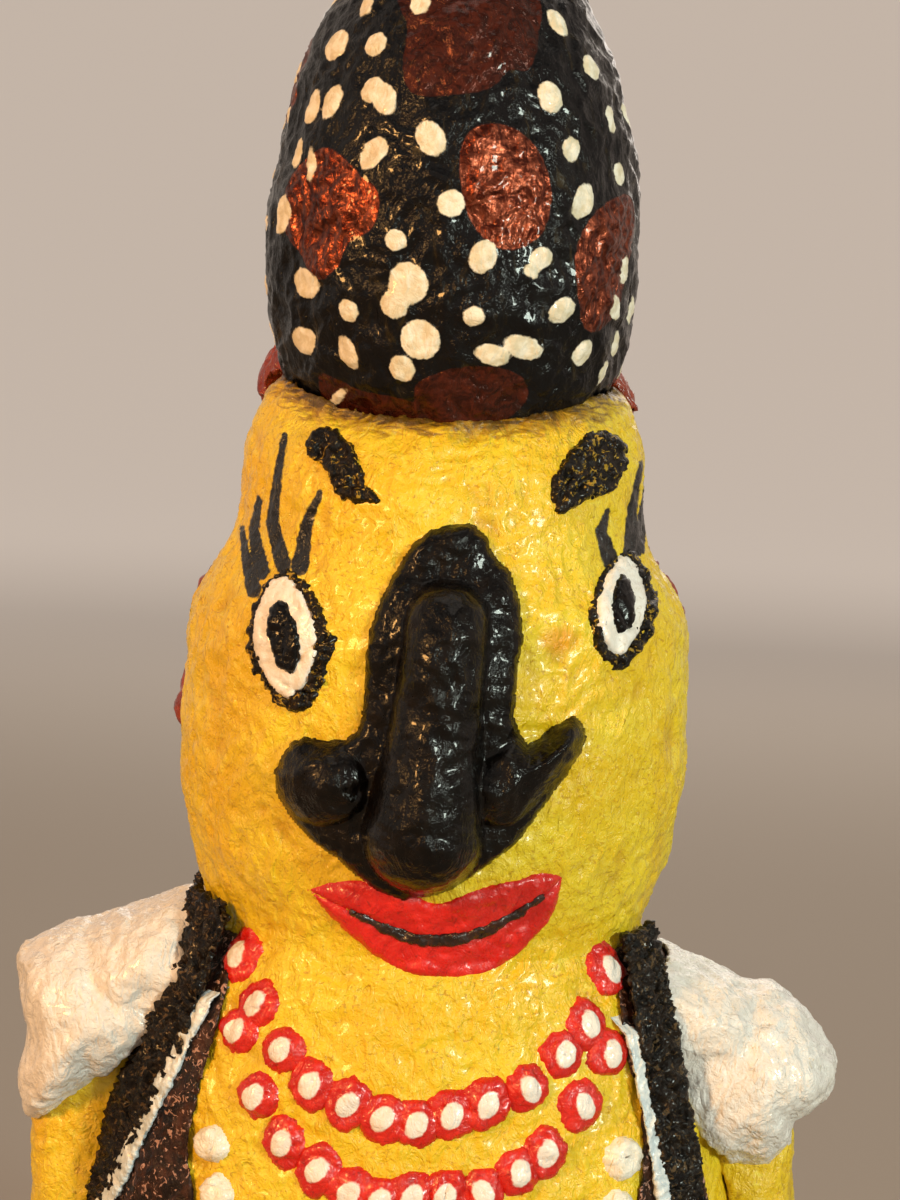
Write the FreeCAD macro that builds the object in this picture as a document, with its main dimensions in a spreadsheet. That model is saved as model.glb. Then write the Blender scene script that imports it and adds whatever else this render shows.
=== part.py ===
import FreeCAD, Part
import math
import os

import Sketcher
from FreeCAD import Placement, Rotation, Vector

# A painted paper-pulp half figure of a woman, made to stand on a flat panel or be bolted to it.
# Frame: millimetres, +Z up, origin in the middle of the underside, face towards -Y, so that her
# right arm is at -X. Newspaper cores on a dowel and a wire carry skins of paper pulp; the features
# of the face, the clothes and the beads are pieces of pulp pressed onto those skins.

DIMENSIONS = (
    ("gasket_thickness", 1.5, "rubber gasket under the base"),
    ("plinth_width", 96.0, "oval wooden base, side to side"),
    ("plinth_depth", 74.0, "oval wooden base, front to back"),
    ("plinth_height", 11.0, "oval wooden base"),
    ("plinth_bevel", 2.5, "bevel round the top edge of the base"),
    ("insert_spacing", 50.0, "between the two threaded inserts"),
    ("insert_diameter", 7.0, "outside of a threaded insert"),
    ("insert_length", 8.0, "threaded insert"),
    ("insert_bore", 4.2, "tapped bore for a 5 mm screw"),
    ("gasket_hole", 5.5, "clearance in the gasket for a 5 mm screw"),
    ("dowel_diameter", 8.0, "wooden spine"),
    ("dowel_length", 166.0, "wooden spine"),
    ("dowel_socket", 4.0, "depth that the spine sits into the base"),
    ("screw_shank", 3.6, "wood screw up through the base into the spine"),
    ("screw_head", 8.0, "head of the wood screw"),
    ("screw_head_height", 2.4, "head of the wood screw"),
    ("screw_length", 26.0, "wood screw under its head"),
    ("washer_diameter", 12.0, "washer under the head of the wood screw"),
    ("washer_thickness", 1.2, "washer under the head of the wood screw"),
    ("wire_diameter", 2.4, "wire through both arms"),
    ("shoulder_level", 74.0, "height of the arm wire where it crosses the spine"),
    ("neck_level", 84.0, "where the skin of the head meets the skin of the body"),
    ("neck_width", 54.0, "side to side where the two skins meet"),
    ("neck_depth", 46.6, "front to back where the two skins meet"),
    ("torso_width", 82.0, "body at the hem"),
    ("torso_depth", 58.0, "body at the hem"),
    ("head_height", 68.5, "from the neck to the rim under the hat"),
    ("head_width", 63.2, "across the cheeks"),
    ("head_depth", 56.0, "through the cheeks"),
    ("skin_thickness", 4.0, "paper pulp over the newspaper cores"),
    ("hat_level", 167.0, "height of the widest part of the hat"),
    ("hat_width", 46.2, "hat"),
    ("hat_rise", 42.4, "dome of the hat above its widest part"),
    ("hat_drop", 30.0, "hat below its widest part"),
    ("hat_wall", 3.0, "paper pulp of the hat"),
    ("hair_thickness", 1.2, "layer of pulp hair over the back of the head"),
    ("bodice_thickness", 0.8, "layer of the bodice over the body"),
    ("strap_thickness", 1.7, "raised shoulder straps"),
    ("strap_width", 5.0, "raised shoulder straps"),
    ("piping_width", 1.7, "light edging beside a strap"),
    ("arm_diameter", 13.5, "upper arm"),
    ("neckline_width", 55.0, "round neckline of the bodice"),
    ("neckline_level", 60.0, "centre of the neckline's arch"),
    ("nose_length", 38.0, "bridge of the nose"),
    ("nose_width", 19.0, "bridge of the nose"),
    ("nose_height", 11.0, "how far the bridge stands out"),
    ("eye_width", 7.6, "almond of the eye"),
    ("eye_height", 13.5, "almond of the eye"),
    ("eye_rim", 1.7, "raised rim round the eye"),
    ("mouth_width", 30.0, "lips, corner to corner"),
    ("bead_diameter", 5.2, "necklace bead"),
    ("bead_height", 3.0, "necklace bead, front to back"),
)

doc = FreeCAD.newDocument("PaperFigure")
sheet = doc.addObject("Spreadsheet::Sheet", "Dimensions")
for row, (alias, value, meaning) in enumerate(DIMENSIONS, start=1):
    sheet.set("A%d" % row, alias)
    sheet.set("B%d" % row, str(value))
    sheet.set("C%d" % row, meaning)
    sheet.setAlias("B%d" % row, alias)
doc.recompute()

FOOT = "(Dimensions.gasket_thickness + Dimensions.plinth_height)"
TORSO_HEIGHT = "(Dimensions.neck_level - %s)" % FOOT

# Each row: share of the form's height, of its full width and of its full depth.
TORSO_PROFILE = (
    (0.00, 1.00, 1.00),
    (0.25, 0.99, 0.985),
    (0.50, 0.97, 0.955),
    (0.68, 0.93, 0.925),
    (0.82, 0.86, 0.885),
    (0.92, 0.765, 0.845),
)
HEAD_PROFILE = (
    (0.06, 0.875, 0.875),
    (0.13, 0.93, 0.93),
    (0.25, 0.985, 0.98),
    (0.38, 1.00, 1.00),
    (0.50, 0.99, 1.00),
    (0.59, 0.97, 0.985),
    (0.65, 0.90, 0.945),
    (0.71, 0.82, 0.895),
    (0.80, 0.785, 0.865),
    (0.86, 0.785, 0.80),
    (0.91, 0.765, 0.71),
    (0.955, 0.725, 0.62),
    (1.00, 0.63, 0.53),
)
CORE_ROWS = 8  # rows of the head's profile that its newspaper core reaches


def size(alias):
    """The value of one cell of the sheet."""
    return float(sheet.get(alias))


def add(kind, name, bindings=None, **values):
    """A document object with its label, plain values and expressions."""
    thing = doc.addObject(kind, name)
    thing.Label = name
    for key, value in values.items():
        setattr(thing, key, value)
    for path, expression in (bindings or {}).items():
        thing.setExpression(path, expression)
    return thing


def cut(name, base, *tools):
    """The base less every tool, one after the other."""
    for number, tool in enumerate(tools[:-1], start=1):
        base = add("Part::Cut", "%s_less_%d" % (name, number), Base=base, Tool=tool)
    return add("Part::Cut", name, Base=base, Tool=tools[-1])


def fuse(name, *pieces):
    return add("Part::MultiFuse", name, Shapes=list(pieces))


def common(name, *pieces):
    return add("Part::MultiCommon", name, Shapes=list(pieces))


def group(name, *pieces):
    """Separate solids that share one node."""
    return add("Part::Compound", name, Links=list(pieces))


# ---------------------------------------------------------------- sketched bodies

def new_body(name):
    body = doc.addObject("PartDesign::Body", name)
    body.Label = name
    return body


def origin_plane(body, role):
    return next(item for item in body.Origin.OriginFeatures if item.Role == role)


def sketch_on(body, name, role="XY_Plane", height=None):
    """An empty sketch on one of the body's own planes, raised by an expression."""
    sketch = body.newObject("Sketcher::SketchObject", name)
    sketch.AttachmentSupport = [(origin_plane(body, role), "")]
    sketch.MapMode = "FlatFace"
    if height:
        sketch.setExpression("AttachmentOffset.Base.z", height)
    return sketch


def draw_oval(sketch, width, depth, name="outline"):
    """An ellipse about the sketch's origin, with both axes bound to expressions."""
    oval = sketch.addGeometry(Part.Ellipse(Vector(40, 0, 0), Vector(0, 25, 0), Vector(0, 0, 0)))
    sketch.exposeInternalGeometry(oval)
    major, minor = oval + 1, oval + 2
    sketch.addConstraint(Sketcher.Constraint("Coincident", oval, 3, -1, 1))
    sketch.addConstraint(Sketcher.Constraint("Horizontal", major))
    for line, axis, expression in ((major, "width", width), (minor, "depth", depth)):
        start = 80 if axis == "width" else 50
        index = sketch.addConstraint(Sketcher.Constraint("Distance", line, 1, line, 2, start))
        sketch.renameConstraint(index, name + "_" + axis)
        sketch.setExpression("Constraints.%s_%s" % (name, axis), expression)


def draw_circle(sketch, diameter, name, across=None):
    """A circle on the sketch's X axis, its diameter and its place bound to expressions."""
    start = 20 if across and not across.startswith("-") else (-20 if across else 0)
    circle = sketch.addGeometry(Part.Circle(Vector(start, 0, 0), Vector(0, 0, 1), 2))
    index = sketch.addConstraint(Sketcher.Constraint("Diameter", circle, 4))
    sketch.renameConstraint(index, name + "_diameter")
    sketch.setExpression("Constraints.%s_diameter" % name, diameter)
    if across:
        sketch.addConstraint(Sketcher.Constraint("PointOnObject", circle, 3, -1))
        index = sketch.addConstraint(Sketcher.Constraint("DistanceX", -1, 1, circle, 3, start))
        sketch.renameConstraint(index, name + "_across")
        sketch.setExpression("Constraints.%s_across" % name, across)
    else:
        sketch.addConstraint(Sketcher.Constraint("Coincident", circle, 3, -1, 1))


def pad(body, name, sketch, length):
    feature = body.newObject("PartDesign::Pad", name)
    feature.Profile = sketch
    feature.setExpression("Length", length)
    return feature


def pocket(body, name, sketch, length):
    """A pocket that cuts towards +Z from its sketch."""
    feature = body.newObject("PartDesign::Pocket", name)
    feature.Profile = sketch
    feature.Reversed = True
    feature.setExpression("Length", length)
    return feature


HALF_SPACING = "Dimensions.insert_spacing / 2"
INSERT_PLACES = (("left", "-" + HALF_SPACING), ("right", HALF_SPACING))


def make_base_gasket():
    body = new_body("base_gasket")
    outline = sketch_on(body, "gasket_outline")
    draw_oval(outline, "Dimensions.plinth_width - 4", "Dimensions.plinth_depth - 4")
    for side, across in INSERT_PLACES:
        draw_circle(outline, "Dimensions.gasket_hole", side + "_hole", across)
    pad(body, "gasket_pad", outline, "Dimensions.gasket_thickness")
    return body


def make_base_plinth():
    underside = "Dimensions.gasket_thickness"
    body = new_body("base_plinth")
    outline = sketch_on(body, "plinth_outline", height=underside)
    draw_oval(outline, "Dimensions.plinth_width", "Dimensions.plinth_depth")
    pad(body, "plinth_pad", outline, "Dimensions.plinth_height")
    inserts = sketch_on(body, "insert_seats", height=underside)
    for side, across in INSERT_PLACES:
        draw_circle(inserts, "Dimensions.insert_diameter", side + "_seat", across)
    pocket(body, "insert_pockets", inserts, "Dimensions.insert_length")
    recess = sketch_on(body, "screw_recess", height=underside)
    draw_circle(recess, "Dimensions.washer_diameter + 1", "recess")
    pocket(body, "screw_recess_pocket", recess,
           "Dimensions.screw_head_height + Dimensions.washer_thickness + 0.2")
    shank = sketch_on(body, "shank_hole", height=underside)
    draw_circle(shank, "Dimensions.screw_shank", "shank")
    pocket(body, "shank_pocket", shank, "Dimensions.plinth_height")
    socket = sketch_on(body, "dowel_seat", height=FOOT + " - Dimensions.dowel_socket")
    draw_circle(socket, "Dimensions.dowel_diameter", "seat")
    block = pocket(body, "dowel_pocket", socket, "Dimensions.dowel_socket")
    doc.recompute()
    bevel = body.newObject("PartDesign::Chamfer", "plinth_bevel")
    bevel.Base = (block, [outer_top_edge(block.Shape)])
    bevel.setExpression("Size", "Dimensions.plinth_bevel")
    return body


def outer_top_edge(shape):
    """The name of the longest edge that lies in the shape's top plane."""
    top = shape.BoundBox.ZMax
    rims = [
        (edge.Length, "Edge%d" % number)
        for number, edge in enumerate(shape.Edges, start=1)
        if edge.CenterOfMass.z > top - 0.01
    ]
    return max(rims)[1]


def ring(name, height, length, outside, inside, across):
    """A plain tube on its own axis, parallel to Z."""
    body = new_body(name)
    section = sketch_on(body, name + "_section", height=height)
    draw_circle(section, outside, "outside", across)
    if inside:
        draw_circle(section, inside, "inside", across)
    pad(body, name + "_pad", section, length)
    return body


def make_mount_inserts():
    inserts = [
        ring(side + "_insert", "Dimensions.gasket_thickness", "Dimensions.insert_length",
             "Dimensions.insert_diameter", "Dimensions.insert_bore", across)
        for side, across in INSERT_PLACES
    ]
    return group("mount_inserts", *inserts)


RECESS_TOP = ("(Dimensions.gasket_thickness + Dimensions.screw_head_height"
              " + Dimensions.washer_thickness + 0.2)")


def make_screw_washer():
    return ring("screw_washer", RECESS_TOP + " - Dimensions.washer_thickness",
                "Dimensions.washer_thickness", "Dimensions.washer_diameter",
                "Dimensions.screw_shank", None)


def make_base_screw():
    """Cheese-headed wood screw: its head under the washer, its shank up into the spine."""
    seat = RECESS_TOP + " - Dimensions.washer_thickness"
    body = new_body("base_screw")
    head = sketch_on(body, "head_section", height=seat + " - Dimensions.screw_head_height")
    draw_circle(head, "Dimensions.screw_head", "head")
    pad(body, "head_pad", head, "Dimensions.screw_head_height")
    shank = sketch_on(body, "shank_section", height=seat)
    draw_circle(shank, "Dimensions.screw_shank", "shank")
    pad(body, "shank_pad", shank, "Dimensions.screw_length")
    return body


def make_spine_dowel(screw, wire):
    blank = ring("dowel_blank", FOOT + " - Dimensions.dowel_socket", "Dimensions.dowel_length",
                 "Dimensions.dowel_diameter", None, None)
    return cut("spine_dowel", blank, screw, wire)


def make_arm_wire():
    """One wire through the spine, bent down at both shoulders and along both arms."""
    level = size("shoulder_level")
    bend = 12.0
    reach = 43.0
    tip = Vector(45.5, 0, 26.0)
    edges = []
    corners = [
        Vector(-tip.x, 0, tip.z), Vector(-reach, 0, level), Vector(reach, 0, level),
        Vector(tip.x, 0, tip.z),
    ]
    starts = [corners[0]]
    for before, corner, after in zip(corners, corners[1:], corners[2:]):
        inward = (before - corner).normalize()
        outward = (after - corner).normalize()
        half_turn = math.acos(inward.dot(outward)) / 2
        tangent = bend / math.tan(half_turn)
        first = corner + inward * tangent
        last = corner + outward * tangent
        centre = corner + (inward + outward).normalize() * (bend / math.sin(half_turn))
        middle = centre + (corner - centre).normalize() * bend
        edges.append(Part.LineSegment(starts[-1], first).toShape())
        edges.append(Part.Arc(first, middle, last).toShape())
        starts.append(last)
    edges.append(Part.LineSegment(starts[-1], corners[-1]).toShape())
    path = add("Part::Feature", "wire_path", Shape=Part.Wire(edges))
    section = add("Part::Circle", "wire_section", {"Radius": "Dimensions.wire_diameter / 2"})
    along = corners[1] - corners[0]
    section.Placement = Placement(corners[0], Rotation(Vector(0, 0, 1), along))
    return add("Part::Sweep", "arm_wire", Sections=[section], Spine=(path, []), Solid=True)


# ---------------------------------------------------------------- soft forms

def oval_section(name, height, width, depth):
    """A horizontal ellipse about the figure's axis, its seam at the back; sizes are expressions."""
    return add("Part::Ellipse", name, {
        "MajorRadius": "(%s) / 2" % width,
        "MinorRadius": "(%s) / 2" % depth,
        "Placement.Base.z": height,
    }, Angle1=90, Angle2=90)


def stacked_ovals(name, profile, base, height, part, grow):
    """Sections of the torso or the head, all grown by the same amount."""
    return [
        oval_section("%s_oval_%d" % (name, number),
                     "%s + %s * %g" % (base, height, rise),
                     "Dimensions.%s_width * %g + 2 * (%s)" % (part, across, grow),
                     "Dimensions.%s_depth * %g + 2 * (%s)" % (part, through, grow))
        for number, (rise, across, through) in enumerate(profile)
    ]


def neck_oval(name, grow):
    return oval_section(name + "_neck", "Dimensions.neck_level",
                        "Dimensions.neck_width + 2 * (%s)" % grow,
                        "Dimensions.neck_depth + 2 * (%s)" % grow)


def torso_form(name, grow="0"):
    ovals = stacked_ovals(name, TORSO_PROFILE, FOOT, TORSO_HEIGHT, "torso", grow)
    return add("Part::Loft", name, Sections=ovals + [neck_oval(name, grow)], Solid=True)


def head_form(name, grow="0", rows=len(HEAD_PROFILE)):
    ovals = stacked_ovals(name, HEAD_PROFILE[:rows], "Dimensions.neck_level",
                          "Dimensions.head_height", "head", grow)
    return add("Part::Loft", name, Sections=[neck_oval(name, grow)] + ovals, Solid=True)


def egg_form(name, grow="0"):
    """The hat: two half ellipsoids that share their widest circle."""
    halves = []
    for part, reach, low, high in (("dome", "hat_rise", 0, 90), ("base", "hat_drop", -90, 0)):
        halves.append(add("Part::Ellipsoid", "%s_%s" % (name, part), {
            "Radius1": "Dimensions.%s + %s" % (reach, grow),
            "Radius2": "Dimensions.hat_width / 2 + %s" % grow,
            "Radius3": "Dimensions.hat_width / 2 + %s" % grow,
            "Placement.Base.z": "Dimensions.hat_level",
        }, Angle1=low, Angle2=high))
    return fuse(name, *halves)


def pebble(name, centre, halves, turn=None):
    """An ellipsoid: its centre, and its half sizes along X, Y and Z as expressions."""
    across, through, tall = halves
    stone = add("Part::Ellipsoid", name,
                {"Radius1": tall, "Radius2": across, "Radius3": through},
                Angle1=-90, Angle2=90)
    stone.Placement = Placement(Vector(*centre), turn or Rotation())
    return stone


def slab(name, centre, sizes, turn=None):
    """A box about its centre."""
    block = add("Part::Box", name, Length=sizes[0], Width=sizes[1], Height=sizes[2])
    turn = turn or Rotation()
    block.Placement = Placement(Vector(*centre) - turn.multVec(Vector(*sizes) / 2), turn)
    return block


def leaning(degrees):
    """A turn in the plane of the face, clockwise as the viewer sees it."""
    return Rotation(Vector(0, 1, 0), degrees)


def facing(degrees, lean=0.0):
    """A turn that points -Y outwards at an angle round the figure, then leans it."""
    return Rotation(Vector(0, 0, 1), degrees).multiply(leaning(lean))


def half_sizes_at(height):
    """Half width and half depth of the figure's skin at a height between hem and hat."""
    foot = size("gasket_thickness") + size("plinth_height")
    neck = size("neck_level")
    rows = [(foot + (neck - foot) * rise, size("torso_width") * across / 2,
             size("torso_depth") * through / 2) for rise, across, through in TORSO_PROFILE]
    rows.append((neck, size("neck_width") / 2, size("neck_depth") / 2))
    rows += [(neck + size("head_height") * rise, size("head_width") * across / 2,
              size("head_depth") * through / 2) for rise, across, through in HEAD_PROFILE]
    for low, high in zip(rows, rows[1:]):
        if height <= high[0]:
            share = (height - low[0]) / (high[0] - low[0])
            return tuple(a + (b - a) * share for a, b in zip(low[1:], high[1:]))
    return rows[-1][1:]


def on_skin(degrees, height, outward=0.0):
    """A point on the skin at an angle from straight ahead, towards +X, and at a height."""
    width, depth = half_sizes_at(height)
    angle = math.radians(degrees)
    reach = 1 / math.hypot(math.sin(angle) / width, math.cos(angle) / depth) + outward
    return (reach * math.sin(angle), -reach * math.cos(angle), height)


# ---------------------------------------------------------------- the face

def make_nose(skin):
    """A finger-shaped ridge on a broad flat bridge, with a blunt tip and two winged nostrils."""
    tipped = Rotation(Vector(1, 0, 0), 5)
    bridge = pebble("nose_bridge", (0.9, -23.5, 119.0),
                    ("Dimensions.nose_width / 2", "6.5", "Dimensions.nose_length / 2 - 1"))
    ridge = pebble("nose_ridge", (1.2, -25.5, 114.5),
                   ("Dimensions.nose_width * 0.29", "Dimensions.nose_height - 1",
                    "Dimensions.nose_length / 2"), tipped)
    tip = pebble("nose_tip", (0.2, -27.0, 102.4), ("10.5", "9.0", "9.8"))
    left = pebble("left_nostril", (-10.2, -22.0, 104.3), ("9.2", "6.5", "7.0"), facing(-18, -20))
    right = pebble("right_nostril", (11.0, -22.0, 107.0), ("9.8", "6.5", "5.6"), facing(20, -38))
    return cut("nose", fuse("nose_form", bridge, ridge, tip, left, right), skin)


EYES = (
    # side, angle from straight ahead, height of the eye's centre, lean of the almond
    ("left", -38.0, 122.0, 4.0),
    ("right", 50.0, 127.5, -4.0),
)


def make_eye(side, degrees, height, lean, skin):
    """The raised rim, the white almond inside it and the pupil on the almond."""
    turn = facing(degrees, lean)
    flat = {"almond": 2.4, "rim": 1.7, "pupil": 1.7}
    almond = pebble(side + "_almond", on_skin(degrees, height),
                    ("Dimensions.eye_width / 2", "%g" % flat["almond"], "Dimensions.eye_height / 2"),
                    turn)
    rim = pebble(side + "_rim_form", on_skin(degrees, height),
                 ("Dimensions.eye_width / 2 + Dimensions.eye_rim", "%g" % flat["rim"],
                  "Dimensions.eye_height / 2 + Dimensions.eye_rim"), turn)
    pupil = pebble(side + "_pupil_form", on_skin(degrees, height, 1.4),
                   ("Dimensions.eye_width * 0.27", "%g" % flat["pupil"],
                    "Dimensions.eye_height * 0.31"), turn)
    return [
        cut(side + "_eye_rim", rim, skin, almond),
        cut(side + "_eyeball", almond, skin),
        cut(side + "_pupil", pupil, almond, skin),
    ]


def make_hair(skin, hat):
    """A thin layer over the back of the head, with a tuft that stands up beside the hat each side."""
    layer = head_form("hair_outer", "Dimensions.hair_thickness")
    back = slab("back_of_head", (0, 31.0, 129), (80, 60, 54), Rotation(Vector(1, 0, 0), -4))
    tufts = (
        pebble("left_tuft_form", (-19.5, 7.0, 150.6), ("4.5", "8.0", "6.4")),
        pebble("right_tuft_form", (19.8, 7.0, 149.6), ("3.8", "7.5", "5.4")),
    )
    cap = common("hair_cap", cut("hair_shell", layer, hat, skin), back)
    return group("hair", cap, *(cut(tuft.Label[:-5], tuft, layer, hat) for tuft in tufts))


def make_brow(side, place, halves, lean, skin):
    """A thick rough brow, at an angle and a height."""
    dab = pebble(side + "_brow_form", on_skin(*place), halves, facing(place[0], lean))
    return cut(side + "_brow", dab, skin)


def make_lips(skin):
    """Two lips that meet on a line; the upper one has a notch under the nose."""
    half = "Dimensions.mouth_width / 2"
    parting = -25.0
    lower_form = pebble("lower_lip_form", (0.8, parting + 4.0, 87.4), (half, "7.0", "5.3"),
                        leaning(-4))
    peaks = [
        pebble("upper_lip_left", (-6.6, parting + 3.0, 90.6), ("9.0", "6.0", "3.0"), leaning(14)),
        pebble("upper_lip_right", (8.4, parting + 3.0, 91.7), ("9.0", "6.0", "3.0"), leaning(-20)),
    ]
    upper_form = fuse("upper_lip_form", *peaks)
    line = slab("mouth_line", (0.8, parting, 80.4), (40, 30, 17.6), leaning(-5))
    upper = cut("upper_lip", upper_form, skin, line)
    lower = common("lower_lip_below_line", lower_form, line)
    return [upper, cut("lower_lip", lower, skin)]


# ---------------------------------------------------------------- clothes and beads

def make_band(name, foot, lean, shift, width, layer):
    """The part of a layer inside a slanting upright slab that stands on a point (x, z)."""
    turn = leaning(lean)
    length = 90.0
    middle = Vector(foot[0], 0, foot[1]) + turn.multVec(Vector(shift, 0, length / 2))
    return common(name, layer, slab(name + "_slab", middle, (width, 90, length), turn))


STRAPS = (
    # side, where its line meets the hem, lean from upright, direction of the neckline
    ("left", (-57.5, 12.5), 24.3, 1),
    ("right", (40.7, 12.5), -13.0, -1),
)


SLEEVES = (
    # side, sign of X, how far the sleeve sits above its mean height
    ("left", -1, 1.5),
    ("right", 1, -2.5),
)


def sleeve_forms(side, sign, rise):
    """A short puffed sleeve is two forms: a cap on the shoulder and a fuller puff below it."""
    cap = pebble(side + "_sleeve_cap", (sign * 34.5, 0, 76.3 + rise), ("11.0", "13.5", "9.0"),
                 leaning(sign * 24))
    puff = pebble(side + "_sleeve_puff", (sign * 41.5, 0, 69.5 + rise), ("10.0", "13.5", "12.0"),
                  leaning(sign * 12))
    return cap, puff


def arm_form(side, sign):
    """A straight arm down the side, ending in a mitten hand."""
    wrist = Vector(sign * 44.0, -1.0, 27.0)
    run = Vector(sign * 41.3, 0, 68) - wrist
    limb = add("Part::Cone", side + "_limb", {
        "Radius1": "Dimensions.arm_diameter / 2 - 1.6",
        "Radius2": "Dimensions.arm_diameter / 2",
    }, Height=run.Length)
    limb.Placement = Placement(wrist, Rotation(Vector(0, 0, 1), run))
    hand = pebble(side + "_hand", (sign * 43.5, -2.0, 24.5), ("5.0", "7.5", "9.0"))
    return fuse(side + "_arm_form", limb, hand)


def make_neckline():
    """The deep round neckline, as a block that runs forward from the figure's axis."""
    radius = "Dimensions.neckline_width / 2"
    level = "Dimensions.neckline_level"
    arch = add("Part::Cylinder", "neckline_arch", {"Radius": radius}, Height=60)
    arch.Placement = Placement(Vector(0, 0, 0), Rotation(Vector(1, 0, 0), 90))
    arch.setExpression("Placement.Base.z", level)
    above = add("Part::Wedge", "neckline_above", {
        "Xmin": "-%s" % radius,
        "Xmax": radius,
        "Ymax": "Dimensions.neck_level + 1 - %s" % level,
        "Placement.Base.z": level,
    }, Ymin=0, Zmin=0, Zmax=60, Z2min=0, Z2max=60, X2min=-22.5, X2max=22.5)
    above.Placement = Placement(Vector(0, 0, 0), Rotation(Vector(1, 0, 0), 90))
    above.setExpression("Placement.Base.z", level)
    behind = slab("neckline_behind", (0, 30, 84), (44, 60, 11.4))
    return fuse("neckline_block", arch, above, behind)


def spread(first, last, count):
    """Evenly spaced values from first to last."""
    return [first + (last - first) * number / (count - 1) for number in range(count)]


def make_necklace(name, front, nape, curl, reach, *skins):
    """Beads that climb from the lowest point in front to the nape, hidden under the straps.

    front and nape are heights; reach is the angle at which the string passes under a strap.
    """
    degrees_in_front = spread(-reach, reach, 13)
    degrees_behind = spread(180 - 42, 180 + 42, 7)
    places = [(turn, front + (nape - front) * abs(turn / (reach + 8)) ** curl)
              for turn in degrees_in_front]
    places += [(turn, nape) for turn in degrees_behind]
    radius = "Dimensions.bead_diameter / 2"
    beads = [
        pebble("%s_bead_%d" % (name, number), on_skin(turn, height),
               (radius, "Dimensions.bead_height / 2", radius), facing(turn))
        for number, (turn, height) in enumerate(places)
    ]
    return cut(name, group(name + "_string", *beads), *skins)


def scallop_places(count, inset):
    """Evenly spaced points just inside the neckline, as angles and heights."""
    radius = size("neckline_width") / 2 - inset
    places = []
    for turn in map(math.radians, spread(-90, 90, count)):
        across = radius * math.sin(turn)
        height = size("neckline_level") - radius * math.cos(turn)
        width, depth = half_sizes_at(height)
        forward = depth * math.sqrt(1 - (across / width) ** 2)
        places.append((math.degrees(math.atan2(across, forward)), height))
    return places


def make_scallops(skin):
    """A row of light dabs that trims the neckline."""
    dabs = [
        pebble("scallop_%d" % number, on_skin(degrees, height), ("2.0", "1.5", "2.3"),
               facing(degrees))
        for number, (degrees, height) in enumerate(scallop_places(15, 2.6))
    ]
    return cut("neckline_scallops", group("scallop_row", *dabs), skin)


# ---------------------------------------------------------------- the assembly

def build():
    """Make every sub-part and give back the ones that are pieces of the real figure."""
    gasket = make_base_gasket()
    plinth = make_base_plinth()
    inserts = make_mount_inserts()
    washer = make_screw_washer()
    screw = make_base_screw()
    wire = make_arm_wire()
    dowel = make_spine_dowel(screw, wire)
    armature = fuse("armature", ring(
        "dowel_space", FOOT + " - Dimensions.dowel_socket", "Dimensions.dowel_length",
        "Dimensions.dowel_diameter", None, None), wire)

    wall = "-Dimensions.skin_thickness"
    body_outer = torso_form("body_outer")
    head_outer = head_form("head_outer")
    skin = fuse("skin_form", body_outer, head_outer)
    hat_outer = egg_form("hat_outer")
    body_inner = torso_form("body_inner", wall)
    head_inner = head_form("head_inner", wall, rows=CORE_ROWS)
    hat_inner = egg_form("hat_inner", "-Dimensions.hat_wall")
    pieces = [
        gasket, plinth, inserts, washer, screw, wire, dowel,
        cut("torso_core", body_inner, armature),
        cut("head_core", head_inner, armature),
        cut("hat_core", hat_inner, armature),
        cut("torso_skin", body_outer, body_inner, armature),
        cut("head_skin", head_outer, head_inner, hat_outer, armature),
        cut("hat_shell", hat_outer, hat_inner, armature),
    ]

    pieces.append(make_hair(head_outer, hat_outer))

    pieces.append(make_nose(head_outer))
    for side, degrees, height, lean in EYES:
        pieces += make_eye(side, degrees, height, lean, head_outer)
    pieces.append(make_brow("left", (-37, 142.0), ("3.4", "2.0", "5.2"), -38, head_outer))
    pieces.append(make_brow("right", (45, 142.2), ("5.2", "2.0", "4.6"), 12, head_outer))
    pieces += make_lips(skin)

    bodice_outer = torso_form("bodice_outer", "Dimensions.bodice_thickness")
    strap_outer = torso_form("strap_outer", "Dimensions.strap_thickness")
    pieces.append(cut("bodice", bodice_outer, body_outer, make_neckline(), wire))
    trim_layer = cut("trim_layer", strap_outer, bodice_outer)
    width = size("strap_width")
    trim = size("piping_width")
    for side, foot, lean, inward in STRAPS:
        beside = inward * (width + trim) / 2
        pieces.append(make_band(side + "_strap", foot, lean, 0, width, trim_layer))
        pieces.append(make_band(side + "_piping", foot, lean, beside, trim, trim_layer))
    pieces.append(make_scallops(body_outer))

    for side, sign, rise in SLEEVES:
        cap, puff = sleeve_forms(side, sign, rise)
        whole = fuse(side + "_sleeve_form", cap, puff)
        pieces.append(cut(side + "_sleeve", whole, strap_outer, wire))
        pieces.append(cut(side + "_arm", arm_form(side, sign), strap_outer, puff, wire))
    pieces.append(make_necklace("upper_necklace", 65.5, 87.0, 2.1, 56, body_outer, head_outer))
    pieces.append(make_necklace("lower_necklace", 56.0, 81.2, 2.6, 50, body_outer))
    return pieces


def check_and_write(pieces):
    """Stop on any failed object or bad shape, then write each piece to its own file."""
    doc.recompute()
    failed = [item.Label for item in doc.Objects if {"Invalid", "Error"} & set(item.State)]
    if failed:
        raise RuntimeError("failed objects: " + ", ".join(failed))
    os.makedirs("parts", exist_ok=True)
    for piece in pieces:
        shape = piece.Shape
        if shape.isNull() or not shape.isValid() or not shape.Solids:
            raise RuntimeError("bad shape: " + piece.Label)
        shape.exportStep("parts/%s.step" % piece.Label)
        print("%-20s %3d solids %10.1f mm3" % (piece.Label, len(shape.Solids), shape.Volume))


check_and_write(build())
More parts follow.
